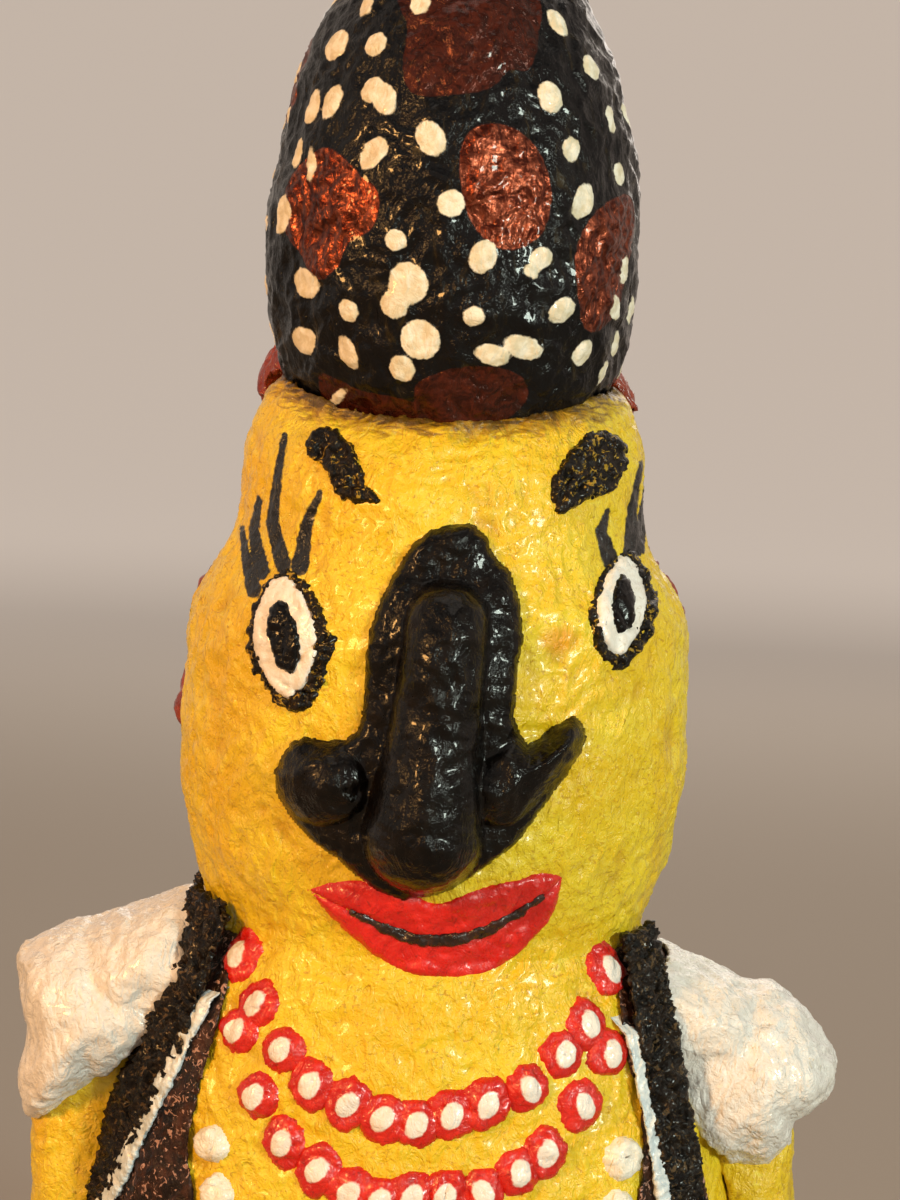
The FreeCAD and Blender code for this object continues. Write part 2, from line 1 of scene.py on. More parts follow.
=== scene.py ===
"""A painted pulp figure in a spotted hat, half length, on a lacquered plinth.

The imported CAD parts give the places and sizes. The pulp pieces are remeshed copies of them, lumped and
wrinkled in code, and the painted pieces are laid on that wrinkled skin. Metres, +Z up, and the face looks
along -Y. Azimuths are degrees round from the face towards +X.
"""

import math

import bmesh
import bpy
import numpy as np
from mathutils import Matrix, Vector, noise
from mathutils.bvhtree import BVHTree


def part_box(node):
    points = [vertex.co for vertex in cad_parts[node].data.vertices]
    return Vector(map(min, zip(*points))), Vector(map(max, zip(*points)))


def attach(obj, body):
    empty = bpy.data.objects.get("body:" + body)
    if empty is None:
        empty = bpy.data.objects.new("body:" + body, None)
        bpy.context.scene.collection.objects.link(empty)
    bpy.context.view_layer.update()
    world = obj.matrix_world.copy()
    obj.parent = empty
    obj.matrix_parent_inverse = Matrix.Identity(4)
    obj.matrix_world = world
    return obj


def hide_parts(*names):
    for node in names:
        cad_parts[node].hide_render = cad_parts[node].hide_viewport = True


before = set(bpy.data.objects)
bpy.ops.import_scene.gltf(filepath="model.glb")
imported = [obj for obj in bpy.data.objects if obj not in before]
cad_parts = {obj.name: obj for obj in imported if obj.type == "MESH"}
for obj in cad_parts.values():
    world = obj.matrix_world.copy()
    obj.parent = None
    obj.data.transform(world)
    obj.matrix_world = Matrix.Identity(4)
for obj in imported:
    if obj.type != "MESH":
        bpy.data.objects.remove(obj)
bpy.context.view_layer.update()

MM = 0.001
FORWARD = Vector((0, -1, 0))
UP = Vector((0, 0, 1))


# ---- meshes

def add_object(name, data):
    thing = bpy.data.objects.new(name, data)
    bpy.context.scene.collection.objects.link(thing)
    return thing


def merged(meshes):
    """Several meshes as one."""
    bm = bmesh.new()
    for mesh in meshes:
        bm.from_mesh(mesh)
    whole = bpy.data.meshes.new("whole")
    bm.to_mesh(whole)
    bm.free()
    return whole


def joined(*nodes):
    """One mesh with copies of these CAD nodes."""
    return merged([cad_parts[node].data for node in nodes])


def remeshed(mesh, voxel):
    """The mesh's surface as an even net of faces, voxel millimetres wide."""
    carrier = add_object("carrier", mesh)
    modifier = carrier.modifiers.new("net", "REMESH")
    modifier.mode = "VOXEL"
    modifier.voxel_size = voxel * MM
    modifier.use_smooth_shade = True
    evaluated = carrier.evaluated_get(bpy.context.evaluated_depsgraph_get())
    net = bpy.data.meshes.new_from_object(evaluated)
    bpy.data.objects.remove(carrier)
    return net


def read(items, key, width=1, kind=np.float32):
    """The values under this key, width of them for each of a mesh's items."""
    flat = np.empty(len(items) * width, kind)
    items.foreach_get(key, flat)
    return flat


def points_of(mesh):
    return read(mesh.vertices, "co", 3).reshape(-1, 3).astype(float)


def normals_of(mesh):
    return read(mesh.vertex_normals, "vector", 3).reshape(-1, 3).astype(float)


def move_points(mesh, points):
    mesh.vertices.foreach_set("co", points.astype(np.float32).ravel())
    mesh.update()


def mesh_from(name, points, faces):
    mesh = bpy.data.meshes.new(name)
    mesh.from_pydata([tuple(p) for p in points], [], faces)
    mesh.validate()
    mesh.shade_smooth()
    return mesh


def store(mesh, name, values):
    """Keeps one number per vertex, which a material reads by name."""
    attribute = mesh.attributes.new(name, "FLOAT", "POINT")
    attribute.data.foreach_set("value", np.asarray(values, np.float32))


# ---- relief of wet, dried and painted pulp

def lumps(points, size, shift=0.0):
    """Smooth noise from -1 to 1 with lumps of this size."""
    offset = Vector((shift, -shift, 2 * shift))
    return np.array([noise.noise(Vector(p) / size + offset) for p in points])


# where a sway's three parts are read from the noise
SWAY_OFFSETS = [Vector(v) for v in ((0.5, -0.3, 0.8), (-0.7, 0.6, -0.2), (0.1, -0.9, 0.4))]


def folds(points, size, sway=1.2, shift=0.0):
    """Narrow ridges, 1 at the crest and -1 at the lowest, that sway and join as in wet paper."""
    offset = Vector((-shift, 2 * shift, shift))
    values = np.empty(len(points))
    for i, p in enumerate(points):
        q = Vector(p) / size + offset
        slow = q * 0.4
        away = Vector([noise.noise(slow + part) for part in SWAY_OFFSETS])
        values[i] = 1 - 2 * abs(noise.noise(q + sway * away))
    return values


def shared_lumps(points):
    """The unevenness that runs through every layer, so that layers laid on each other stay so."""
    return (0.55 * lumps(points, 9 * MM) + 0.3 * lumps(points, 4 * MM)) * MM


def roughen(mesh, wrinkle, size, lumpy=1.0, shift=0.0):
    """Lumps and wrinkles the mesh along its normals; wrinkle is their depth and size their spacing."""
    points, normals = points_of(mesh), normals_of(mesh)
    height = lumpy * shared_lumps(points)
    height += wrinkle * (folds(points, size, shift=shift) - 0.5)
    height += 0.5 * wrinkle * (folds(points, 0.45 * size, shift=shift + 5) - 0.5)
    move_points(mesh, points + normals * height[:, None])
    # how low each point lies in a hollow, kept for the yellow paint's painted shade
    store(mesh, "hollow", np.clip(-height / (wrinkle + 0.4 * MM), -1, 1))


def sunk(points, depth):
    """The points moved in towards the middle of the torso."""
    outward = points * (1, 1, 0)
    return points - outward / np.linalg.norm(outward, axis=1)[:, None] * depth[:, None]


# ---- distances for painted areas

def leaned(across, up, angle):
    """The places as read in a frame turned by this angle, in radians."""
    c, s = math.cos(angle), math.sin(angle)
    return c * across + s * up, c * up - s * across


def oval_distance(across, up, half_width, half_height, power=2.0):
    """How far points lie outside an oval round the origin; negative inside it."""
    share = (np.abs(across / half_width) ** power + np.abs(up / half_height) ** power) ** (1 / power)
    return (share - 1) * min(half_width, half_height)


def line_distance(across, up, start, end):
    """Distance to a straight run, and how far along it the nearest point is, from 0 to 1."""
    (ax, ay), (bx, by) = start, end
    length_squared = (bx - ax) ** 2 + (by - ay) ** 2
    along = np.clip(((across - ax) * (bx - ax) + (up - ay) * (by - ay)) / length_squared, 0, 1)
    return np.hypot(across - ax - along * (bx - ax), up - ay - along * (by - ay)), along


def outline_distance(across, up, outline):
    """How far points lie outside a closed outline of straight runs; negative inside it."""
    nearest = np.full(len(across), 1.0)
    inside = np.zeros(len(across), bool)
    for start, end in zip(outline, outline[1:] + outline[:1]):
        nearest = np.minimum(nearest, line_distance(across, up, start, end)[0])
        crosses = (start[1] > up) != (end[1] > up)
        run = (end[0] - start[0]) / ((end[1] - start[1]) or 1e-12)
        inside ^= crosses & (across < start[0] + (up - start[1]) * run)
    return np.where(inside, -nearest, nearest)


def stroke_distance(across, up, path, start_half, end_half):
    """How far points lie outside a brush stroke that narrows from one half width to another."""
    nearest = np.full(len(across), 1.0)
    runs = len(path) - 1
    for i in range(runs):
        distance, along = line_distance(across, up, path[i], path[i + 1])
        half = start_half + (end_half - start_half) * (i + along) / runs
        nearest = np.minimum(nearest, distance - half)
    return nearest


def bearing(azimuth, elevation=0.0):
    """The unit direction at this azimuth and elevation, in degrees."""
    a, e = math.radians(azimuth), math.radians(elevation)
    return Vector((math.sin(a) * math.cos(e), -math.cos(a) * math.cos(e), math.sin(e)))


class Skin:
    """A finished surface that thin pieces are laid on and colours are painted on."""

    def __init__(self, mesh):
        points = [v.co.copy() for v in mesh.vertices]
        self.tree = BVHTree.FromPolygons(points, [tuple(p.vertices) for p in mesh.polygons])

    def cast(self, start, direction):
        """The nearest point of the skin along a ray, and its smoothed outward normal."""
        point, normal, _, _ = self.tree.ray_cast(start, direction)
        if point is None:
            point, normal, _, _ = self.tree.find_nearest(start + 0.2 * direction)
        return point, (normal - direction).normalized()

    def front(self, x, z):
        """The point of the skin straight behind (x, z) as seen from the front."""
        return self.cast(Vector((x, -0.2, z)), -FORWARD)

    def round(self, azimuth, z):
        """The point of the skin at this height and azimuth."""
        out = bearing(azimuth)
        return self.cast(0.2 * out + z * UP, -out)


def plane_at(point, normal):
    """Two directions in the skin at a point: level to the right as seen from outside, and upwards."""
    right = UP.cross(normal).normalized()
    return right, normal.cross(right)


def near_plane(points, point, normal, reach):
    """Each point's place (across, up) in the skin's plane at point, far away where it isn't near it."""
    right, upward = plane_at(point, normal)
    offset = points - np.array(point)
    away = np.abs(offset @ np.array(normal)) > reach
    return np.where(away, 1.0, offset @ np.array(right)), offset @ np.array(upward)


# ---- thin pieces laid on a skin

def smooth_line(points, count):
    """Evenly spread stations on a smooth curve through the points."""
    p = np.array(points, float)
    padded = np.vstack([2 * p[0] - p[1], p, 2 * p[-1] - p[-2]])
    result = []
    for t in np.linspace(0, len(p) - 1, count):
        i = min(int(t), len(p) - 2)
        s = t - i
        a, b, c, d = padded[i:i + 4]
        result.append(0.5 * (2 * b + (c - a) * s + (2 * a - 5 * b + 4 * c - d) * s * s
                             + (3 * b - a - 3 * c + d) * s ** 3))
    return [tuple(r) for r in result]


def smooth_loop(points, steps=4):
    """A closed outline through the points, rounded between them."""
    around = list(points) + list(points[:3])
    line = smooth_line(around, steps * (len(around) - 1) + 1)
    return line[steps:steps * (len(points) + 1)]


def oval_outline(centre, half_width, half_height, power=2.0, tilt=0.0, count=40):
    """A round or pointed oval; a positive tilt leans its top to the left."""
    outline = []
    for k in range(count):
        x, y = math.cos(2 * math.pi * k / count), math.sin(2 * math.pi * k / count)
        r = 1 / (abs(x) ** power + abs(y) ** power) ** (1 / power)
        x, y = leaned(half_width * r * x, half_height * r * y, -math.radians(tilt))
        outline.append((centre[0] + x, centre[1] + y))
    return outline


def stroke_outline(path, half_widths, stations=20):
    """The outline of a brush stroke whose half width changes along its path."""
    line = np.array(smooth_line(path, stations))
    halves = np.array(smooth_line([(w, 0) for w in half_widths], stations))[:, :1]
    run = np.gradient(line, axis=0)
    side = np.stack([-run[:, 1], run[:, 0]], axis=1)
    side /= np.linalg.norm(side, axis=1)[:, None]
    return [tuple(q) for q in np.vstack([line + side * halves, (line - side * halves)[::-1]])]


def wander(u, v, size, shift=0.0):
    """Smooth noise from -1 to 1 over flat places."""
    return np.array([noise.noise(Vector((a / size, b / size, shift))) for a, b in zip(u, v)])


def laid(name, outline, cast, thickness, steep=0.7 * MM, rough=0.0, grain=0.9 * MM, ragged=0.0,
         step=0.3 * MM, hole=None, swell=None):
    """A closed thin mesh on a skin inside an outline; cast(u, v) gives the skin's point and normal.

    It rises to its thickness over steep from its edge, which is sunk in the skin. rough and grain are the
    depth and spacing of its unevenness, ragged how far its outline wanders, hole an outline left open, and
    swell(u, v, inside) any further height.
    """
    low, high = np.min(outline, axis=0) - 3 * step, np.max(outline, axis=0) + 3 * step
    columns, rows = (int(n) + 1 for n in (high - low) / step)
    u = np.repeat(low[0] + step * np.arange(columns), rows)
    v = np.tile(low[1] + step * np.arange(rows), columns)
    inside = -outline_distance(u, v, outline)
    if hole:
        inside = np.minimum(inside, outline_distance(u, v, hole))
    shift = sum(map(ord, name)) / 7
    inside = inside + ragged * (0.7 * wander(u, v, 1.4 * MM, shift) + 0.5 * wander(u, v, 0.6 * MM, shift))
    rise = np.clip(inside / steep, 0, 1)
    height = thickness * np.sqrt(1 - (1 - rise) ** 2) + np.clip(0.8 * inside, -0.45 * MM, 0)
    if rough:
        height += rough * rise * (0.7 * wander(u, v, grain, shift + 3) + 0.4 * wander(u, v, grain / 2, shift))
    if swell:
        height += swell(u, v, inside)
    kept = inside > -1.6 * step
    corners = [i * rows + j for i in range(columns - 1) for j in range(rows - 1)]
    cells = [(c, c + rows, c + rows + 1, c + 1) for c in corners]
    cells = [cell for cell in cells if all(kept[k] for k in cell)]
    used = sorted({k for cell in cells for k in cell})
    rename = {old: new for new, old in enumerate(used)}
    cells = [tuple(rename[k] for k in cell) for cell in cells]
    top, bottom = [], []
    for k in used:
        point, normal = cast(u[k], v[k])
        top.append(point + normal * height[k])
        bottom.append(point - normal * 0.9 * MM)
    count = len(used)
    edges = {(a, b) for cell in cells for a, b in zip(cell, cell[1:] + cell[:1])}
    shell = cells + [tuple(k + count for k in reversed(cell)) for cell in cells]
    shell += [(b, a, a + count, b + count) for a, b in edges if (b, a) not in edges]
    return mesh_from(name, top + bottom, shell)


def middle_between(places):
    """The middle of the box round these places."""
    low = Vector([min(p[i] for p in places) for i in range(3)])
    high = Vector([max(p[i] for p in places) for i in range(3)])
    return (low + high) / 2


def middle_of(*nodes):
    """The middle of the box round these CAD nodes."""
    return middle_between([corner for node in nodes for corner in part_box(node)])


def round_middle(middle, outline):
    """An outline given in millimetres from a middle, in metres from the origin."""
    return [(middle.x + a * MM, middle.z + b * MM) for a, b in outline]


def shells_of(node):
    """The middles of a CAD node's separate solids, round the figure."""
    bm = bmesh.new()
    bm.from_mesh(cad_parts[node].data)
    bmesh.ops.remove_doubles(bm, verts=bm.verts, dist=1e-6)
    left, middles = set(bm.verts), []
    while left:
        group = [left.pop()]
        for vertex in group:
            near = {edge.other_vert(vertex) for edge in vertex.link_edges} & left
            left -= near
            group += near
        middles.append(middle_between([v.co for v in group]))
    bm.free()
    return sorted(middles, key=lambda p: (round(math.atan2(p.x, -p.y), 4), p.z))


# ---- materials

def linear(colour):
    """A hex colour as it looks, in the shader's linear numbers."""
    parts = [int(colour[i:i + 2], 16) / 255 for i in (0, 2, 4)]
    return [p / 12.92 if p <= 0.04045 else ((p + 0.055) / 1.055) ** 2.4 for p in parts] + [1.0]


class Paint:
    """One Principled material, worked out by short chains of nodes in the object's own metres."""

    def __init__(self, name, **values):
        self.material = bpy.data.materials.new(name)
        self.material.use_nodes = True
        self.tree = self.material.node_tree
        self.surface = self.tree.nodes["Principled BSDF"]
        self.place = self.make("ShaderNodeTexCoord").outputs["Object"]
        for key, value in values.items():
            self.set(key.replace("_", " "), value)

    def make(self, kind, **settings):
        node = self.tree.nodes.new(kind)
        for key, value in settings.items():
            setattr(node, key, value)
        return node

    def join(self, value, socket):
        if isinstance(value, bpy.types.NodeSocket):
            self.tree.links.new(value, socket)
        else:
            socket.default_value = value

    def set(self, key, value):
        self.join(value, self.surface.inputs[key])

    def noise(self, size, detail=3.0, roughness=0.55, distortion=0.0, stretch=(1, 1, 1)):
        """Fractal noise with features of this size in millimetres."""
        mapping = self.make("ShaderNodeMapping")
        mapping.inputs["Scale"].default_value = stretch
        self.join(self.place, mapping.inputs["Vector"])
        node = self.make("ShaderNodeTexNoise")
        self.join(mapping.outputs["Vector"], node.inputs["Vector"])
        values = {"Scale": 1 / (size * MM), "Detail": detail, "Roughness": roughness,
                  "Distortion": distortion}
        for key, value in values.items():
            node.inputs[key].default_value = value
        return node.outputs["Fac"]

    def attribute(self, name):
        return self.make("ShaderNodeAttribute", attribute_name=name).outputs["Fac"]

    def sum(self, a, b, share=1.0):
        """a plus share times b."""
        node = self.make("ShaderNodeMath", operation="MULTIPLY_ADD")
        for socket, value in zip(node.inputs, (b, share, a)):
            self.join(value, socket)
        return node.outputs[0]

    def fade(self, value, start, end, low=0.0, high=1.0):
        """low where value is at start or beyond, high at end or beyond, and smooth between them."""
        node = self.make("ShaderNodeMapRange", interpolation_type="SMOOTHSTEP")
        for key, number in {"From Min": start, "From Max": end, "To Min": low, "To Max": high}.items():
            node.inputs[key].default_value = number
        self.join(value, node.inputs["Value"])
        return node.outputs["Result"]

    def mix(self, share, a, b):
        """Colour a where share is 0 and b where it is 1."""
        node = self.make("ShaderNodeMix", data_type="RGBA")
        colours = [s for s in node.inputs if s.type == "RGBA"]
        self.join(share, node.inputs["Factor"])
        for socket, value in zip(colours, (a, b)):
            self.join(linear(value) if isinstance(value, str) else value, socket)
        return [s for s in node.outputs if s.type == "RGBA"][0]

    def tone(self, value, start, end, a, b, high=1.0):
        """Colour a where value is at start, and colour b, as strongly as high, where it is at end."""
        return self.mix(self.fade(value, start, end, 0.0, high), a, b)

    def blend(self, share, a, b):
        """Number a where share is 0 and b where it is 1."""
        node = self.make("ShaderNodeMix", data_type="FLOAT")
        numbers = [s for s in node.inputs if s.type == "VALUE" and s.name in "AB"]
        self.join(share, node.inputs["Factor"])
        for socket, value in zip(numbers, (a, b)):
            self.join(value, socket)
        return node.outputs["Result"]

    def inside(self, name, soft=0.12 * MM, ragged=0.25 * MM):
        """1 inside the painted area whose distance is kept under this name, with a brushed edge."""
        wandering = self.sum(self.attribute(name), self.sum(self.noise(0.9), -0.5), ragged)
        return self.fade(wandering, soft, -soft)

    def bump(self, *layers):
        """Fine relief from (height, depth in millimetres) layers."""
        previous = None
        for height, depth in layers:
            node = self.make("ShaderNodeBump")
            node.inputs["Distance"].default_value = depth * MM
            self.join(height, node.inputs["Height"])
            if previous:
                self.join(previous, node.inputs["Normal"])
            previous = node.outputs["Normal"]
        self.set("Normal", previous)


def pulp_bump(paint, depth):
    """The small creases of dried pulp under paint."""
    paint.bump(
        (paint.noise(2.2, detail=3, distortion=2.2, stretch=(1, 1, 0.6)), 2.4 * depth),
        (paint.noise(0.8, detail=3, distortion=1.2), depth),
    )


def painted(paint, colour, rough, depth):
    """The finished material of painted pulp, with creases of this depth."""
    paint.set("Base Color", colour)
    paint.set("Roughness", rough)
    pulp_bump(paint, depth)
    return paint.material


def yellow_material():
    """Glossy yellow over cream, with painted shade in hollows, creases and under the hat; lashes and marks
    are painted on it.
    """
    paint = Paint("yellow_paint", Coat_Weight=0.22, Coat_Roughness=0.14)
    body = paint.tone(paint.noise(11, 2), 0.35, 0.65, "E6BE12", "E9CC24")
    body = paint.tone(paint.noise(2.4, 4, distortion=2), 0.5, 0.78, body, "F0D848")
    # painted shade: darker yellow-brown where the skin lies low in a wrinkle's hollow
    body = paint.tone(paint.attribute("hollow"), 0.25, 0.95, body, "B98A12", 0.55)
    # painted shade: thin dark yellow-brown creases drawn by a noise on the yellow
    creases = paint.noise(1.5, 5, 0.62, 2.6, (1, 1, 1.3))
    body = paint.tone(creases, 0.44, 0.34, body, "AE780A", 0.6)
    # painted shade in the crease under the hat's edge: the share kept near the hat plus horizontal streaks
    # turns the yellow darker, then dark brown; thin holds this shade, not thin paint
    thin = paint.sum(paint.attribute("hat_edge_shade"), paint.noise(2.0, 4, 0.55, 2.0, (0.45, 0.45, 1.5)), 1.3)
    body = paint.tone(thin, 1.05, 1.4, body, "8A5F0E", 0.75)
    body = paint.tone(thin, 1.35, 1.6, body, "3C270C", 0.85)
    body = paint.tone(paint.attribute("smudge"), 0.6 * MM, -0.9 * MM, body, "DB8A12", 0.6)
    body = paint.mix(paint.inside("lashes", ragged=0.7 * MM), body, "090604")
    return painted(paint, body, paint.fade(paint.noise(1.6, 3), 0.3, 0.7, 0.27, 0.42), 0.2)


def hat_material():
    """Gloss black with olive showing through, copper patches and off-white spots."""
    paint = Paint("hat_paint", Coat_Weight=0.2, Coat_Roughness=0.03, Specular_IOR_Level=0.15)
    streaks = paint.noise(2.2, 5, 0.65, 1.2, stretch=(1, 1, 0.35))
    body = paint.tone(streaks, 0.54, 0.74, "060608", "2A210C")
    copper = paint.inside("copper")
    dull = paint.inside("dull_copper")
    spots = paint.inside("spots", ragged=0.6 * MM)
    shine = paint.noise(1.6, 4, 0.6, 1.5)
    bright = paint.tone(shine, 0.35, 0.7, "4A1A0E", "9C523A")
    brown = paint.tone(shine, 0.35, 0.65, "2C0F07", "4E2013")
    body = paint.mix(dull, paint.mix(copper, body, bright), brown)
    cream = paint.tone(paint.noise(1.5, 3), 0.35, 0.7, "D8CCAE", "F2ECDC")
    body = paint.mix(spots, body, cream)
    paint.set("Metallic", paint.blend(spots, paint.blend(dull, copper, 0.35), 0.0))
    rough = paint.blend(copper, paint.fade(streaks, 0.4, 0.7, 0.12, 0.3), 0.3)
    return painted(paint, body, paint.blend(spots, rough, 0.45), 0.13)


def pitch_material(name, dark="050404", light="120D09", rough=0.16, depth=0.15, fleck=None):
    """Thick black gloss paint on crumbly pulp, with any flecks of what is under it."""
    paint = Paint(name, Coat_Weight=0.18, Coat_Roughness=0.03, Specular_IOR_Level=0.15)
    body = paint.tone(paint.noise(2.5, 4, 0.6, 0.8), 0.4, 0.7, dark, light)
    if fleck:
        body = paint.tone(paint.noise(0.9, 3, 0.6, 1.0), 0.57, 0.64, body, fleck)
    return painted(paint, body, paint.fade(paint.noise(1.4, 3), 0.35, 0.7, rough, rough + 0.2), depth)


def plain_paint(name, main, second, shade, rough=0.3, depth=0.12, centre=None):
    """Brushed gloss paint in two close tones, darker in the hollows; centre is the colour of a middle dot."""
    paint = Paint(name, Coat_Weight=0.35, Coat_Roughness=0.12)
    body = paint.tone(paint.noise(2.6, 4, 0.55, 1.0), 0.35, 0.68, main, second)
    body = paint.tone(paint.noise(0.9, 3, 0.6, 1.5), 0.56, 0.74, body, shade, 0.7)
    if centre:
        body = paint.mix(paint.inside("middle", ragged=0.5 * MM), body, centre)
    rough = paint.fade(paint.noise(1.5, 3), 0.35, 0.7, rough - 0.06, rough + 0.12)
    return painted(paint, body, rough, depth)


def lacquered_wood():
    """Black lacquer over a long grain, worn to brown where it is thin."""
    paint = Paint("plinth_lacquer", Coat_Weight=0.7, Coat_Roughness=0.08)
    grain = paint.noise(2.5, 6, 0.6, 0.6, stretch=(0.08, 1, 1))
    body = paint.tone(grain, 0.45, 0.75, "100C0A", "2B1B10")
    body = paint.tone(paint.noise(6, 5), 0.62, 0.78, body, "4A2E18", 0.6)
    paint.set("Base Color", body)
    paint.set("Roughness", paint.fade(grain, 0.3, 0.8, 0.22, 0.4))
    paint.bump((grain, 0.12), (paint.noise(0.6, 4), 0.04))
    return paint.material


def worked_material(name, main, second, metallic, rough, size, stretch=(1, 1, 1), depth=0.03):
    """A metal, rubber, wood or paper with its own grain."""
    paint = Paint(name, Metallic=metallic)
    grain = paint.noise(size, 5, 0.6, 0.4, stretch)
    paint.set("Base Color", paint.tone(grain, 0.35, 0.7, main, second))
    paint.set("Roughness", paint.fade(grain, 0.3, 0.7, rough - 0.08, rough + 0.1))
    paint.bump((grain, depth), (paint.noise(0.35 * size, 3), 0.4 * depth))
    return paint.material


YELLOW = yellow_material()
HAT = hat_material()
NOSE = pitch_material("nose_black", rough=0.1, depth=0.12)
CRUMBS = pitch_material("crumbly_black", "0B0807", "20170F", 0.3, 0.2, fleck="A8862C")
STRAP = pitch_material("strap_black", "0A0807", "241B13", 0.28, 0.25, fleck="5E4A30")
VEST = pitch_material("bodice_brown", "1B110D", "4A2C20", 0.3, 0.2, fleck="B58C7C")
PUPIL = pitch_material("pupil_black", "050406", "0F0B09", 0.12, 0.08)
EYE = plain_paint("eye_white", "E9E2D6", "F4F1EA", "CDBFA6", 0.3, 0.08)
LIP = plain_paint("lip_red", "C9150F", "DE231A", "8E0D0A")
MOUTH = plain_paint("mouth_line_brown", "1C0E0A", "35180F", "5C2A18", 0.28)
BEAD = plain_paint("bead_red", "C4170F", "DC2A1C", "7C0F0A", 0.26, 0.15, centre="F1E8DE")
WHITE = plain_paint("white_paint", "E4E0DA", "F0EDE8", "C9BFA8", 0.3, 0.2)
CREAM = plain_paint("scallop_white", "EDE7D6", "F8F4E8", "D9C98F", 0.3, 0.15)
PIPING = plain_paint("piping_blue_white", "C9D6DC", "E6ECEC", "9FB0B8")
HAIR = plain_paint("hair_red_brown", "7A2411", "9C3A1A", "3E1409", 0.26, 0.18)
LACQUER = lacquered_wood()
RUBBER = worked_material("gasket_rubber", "161616", "242424", 0.0, 0.72, 0.8)
BRASS = worked_material("insert_brass", "B58A3A", "CFA856", 1.0, 0.3, 0.6, (1, 1, 6))
STEEL = worked_material("screw_steel", "8D9094", "B4B7BA", 1.0, 0.32, 0.5, (1, 1, 5))
DOWEL = worked_material("dowel_wood", "B98B56", "D8AF7A", 0.0, 0.6, 1.5, (1, 1, 0.06), 0.08)
PAPER = worked_material("newspaper", "A9A294", "CFC9BC", 0.0, 0.8, 3, depth=0.2)


# ---- putting a piece in the scene

def unwrap(mesh):
    """A plain round-the-axis layout, so that a baked colour keeps its detail."""
    points = points_of(mesh)
    low, high = points.min(axis=0), points.max(axis=0)
    middle = (low + high) / 2
    turn = np.arctan2(points[:, 0] - middle[0], middle[1] - points[:, 1]) / (2 * math.pi) + 0.5
    rise = (points[:, 2] - low[2]) / max(high[2] - low[2], 1e-6)
    corners = read(mesh.loops, "vertex_index", kind=np.int32)
    starts = read(mesh.polygons, "loop_start", kind=np.int32)
    u, v = turn[corners], rise[corners]
    widest = np.maximum.reduceat(u, starts) - np.minimum.reduceat(u, starts) > 0.5
    crosses = np.repeat(widest, np.diff(np.append(starts, len(corners))))
    u = np.where(crosses & (u < 0.5), 1.0, u)
    layer = mesh.uv_layers.new(name="OFBake")
    layer.data.foreach_set("uv", np.stack([u, v], axis=1).astype(np.float32).ravel())


def finish(mesh, material):
    mesh.materials.clear()
    mesh.materials.append(material)


def show(name, mesh, material, slot, *nodes):
    """Adds a piece that stands for these CAD nodes."""
    unwrap(mesh)
    finish(mesh, material)
    mesh.name = name
    piece = add_object(name, mesh)
    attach(piece, "root")
    if nodes:
        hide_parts(*nodes)


# ---- the yellow head and body

def head_marks(mesh):
    """Distances and shares for what is painted on the yellow skin."""
    points = points_of(mesh)
    x, z = points[:, 0], points[:, 2]
    front = points[:, 1] < 2 * MM
    hat = Skin(joined("hat_shell"))
    # painted shade in the crease under the hat: a share from 1 at the hat's edge to 0 six millimetres away
    hat_edge_shade = np.zeros(len(x))
    for i in np.flatnonzero(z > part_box("head_skin")[1].z - 14 * MM):
        hat_edge_shade[i] = max(0.0, 1 - hat.tree.find_nearest(Vector(points[i]))[3] / (6 * MM))
    store(mesh, "hat_edge_shade", hat_edge_shade)
    lashes = np.full(len(x), 1.0)
    for node, strokes in LASHES.items():
        eye = middle_of(node)
        for path in strokes:
            stroke = stroke_distance(x, z, round_middle(eye, path), 1.05 * MM, 0.4 * MM)
            lashes = np.minimum(lashes, stroke)
    store(mesh, "lashes", np.where(front, lashes, 1.0))
    cheek = middle_of("right_eyeball")
    smudge = oval_distance(x - cheek.x + 7 * MM, z - cheek.z + 5 * MM, 2.4 * MM, 1.6 * MM)
    store(mesh, "smudge", np.where(front, smudge, 1.0))


# lash strokes as (across, up) in millimetres from the middle of their eye, from the lid outwards
LASHES = {
    "left_eyeball": [
        [(-4.4, 5.2), (-5.5, 7.8), (-6.6, 11.6)],
        [(-3.6, 7.4), (-5, 11.6), (-4.5, 15.6)],
        [(-1, 8.4), (-2.6, 13), (-2.2, 18.2), (-1.6, 23.4)],
        [(1.2, 8.4), (1.7, 13.4), (3.2, 17.2)],
    ],
    "right_eyeball": [
        [(-1, 3.8), (-2.4, 7.2), (-1.6, 9.6)],
        [(1.6, 4.6), (1.6, 9.1), (2.6, 15.1)],
        [(2.6, 5), (3.5, 9.9), (4, 13.4)],
    ],
}


def halves_at(mesh, level):
    """The mesh as two closed meshes, above and below a level."""
    result = []
    for keep_upper in (True, False):
        bm = bmesh.new()
        bm.from_mesh(mesh)
        drop = [f for f in bm.faces if (f.calc_center_median().z > level) != keep_upper]
        bmesh.ops.delete(bm, geom=drop, context="FACES")
        rim = [e for e in bm.edges if e.is_boundary]
        made = bmesh.ops.contextual_create(bm, geom=rim)["faces"]
        bmesh.ops.triangulate(bm, faces=made)
        for edge in rim:
            edge.smooth = False
        half = bpy.data.meshes.new("half")
        bm.to_mesh(half)
        bm.free()
        result.append(half)
    return result


def make_body():
    """The yellow skin of head and torso, wrinkled as one and parted at the neck."""
    mesh = remeshed(joined("torso_skin", "torso_core", "head_skin", "head_core"), 0.45)
    roughen(mesh, 0.36 * MM, 3.0 * MM)
    head_marks(mesh)
    head, torso = halves_at(mesh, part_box("head_skin")[0].z)
    show("painted_head", head, YELLOW, "yellow_pulp", "head_skin")
    show("painted_torso", torso, YELLOW, "yellow_pulp", "torso_skin")
    return Skin(mesh)


SKIN = make_body()


# how far over and how wide each arm comes where it leaves its sleeve, in millimetres: (top, outer, inner)
ARM_TOPS = {"left": (72, -51, -36), "right": (68, 48, 34)}
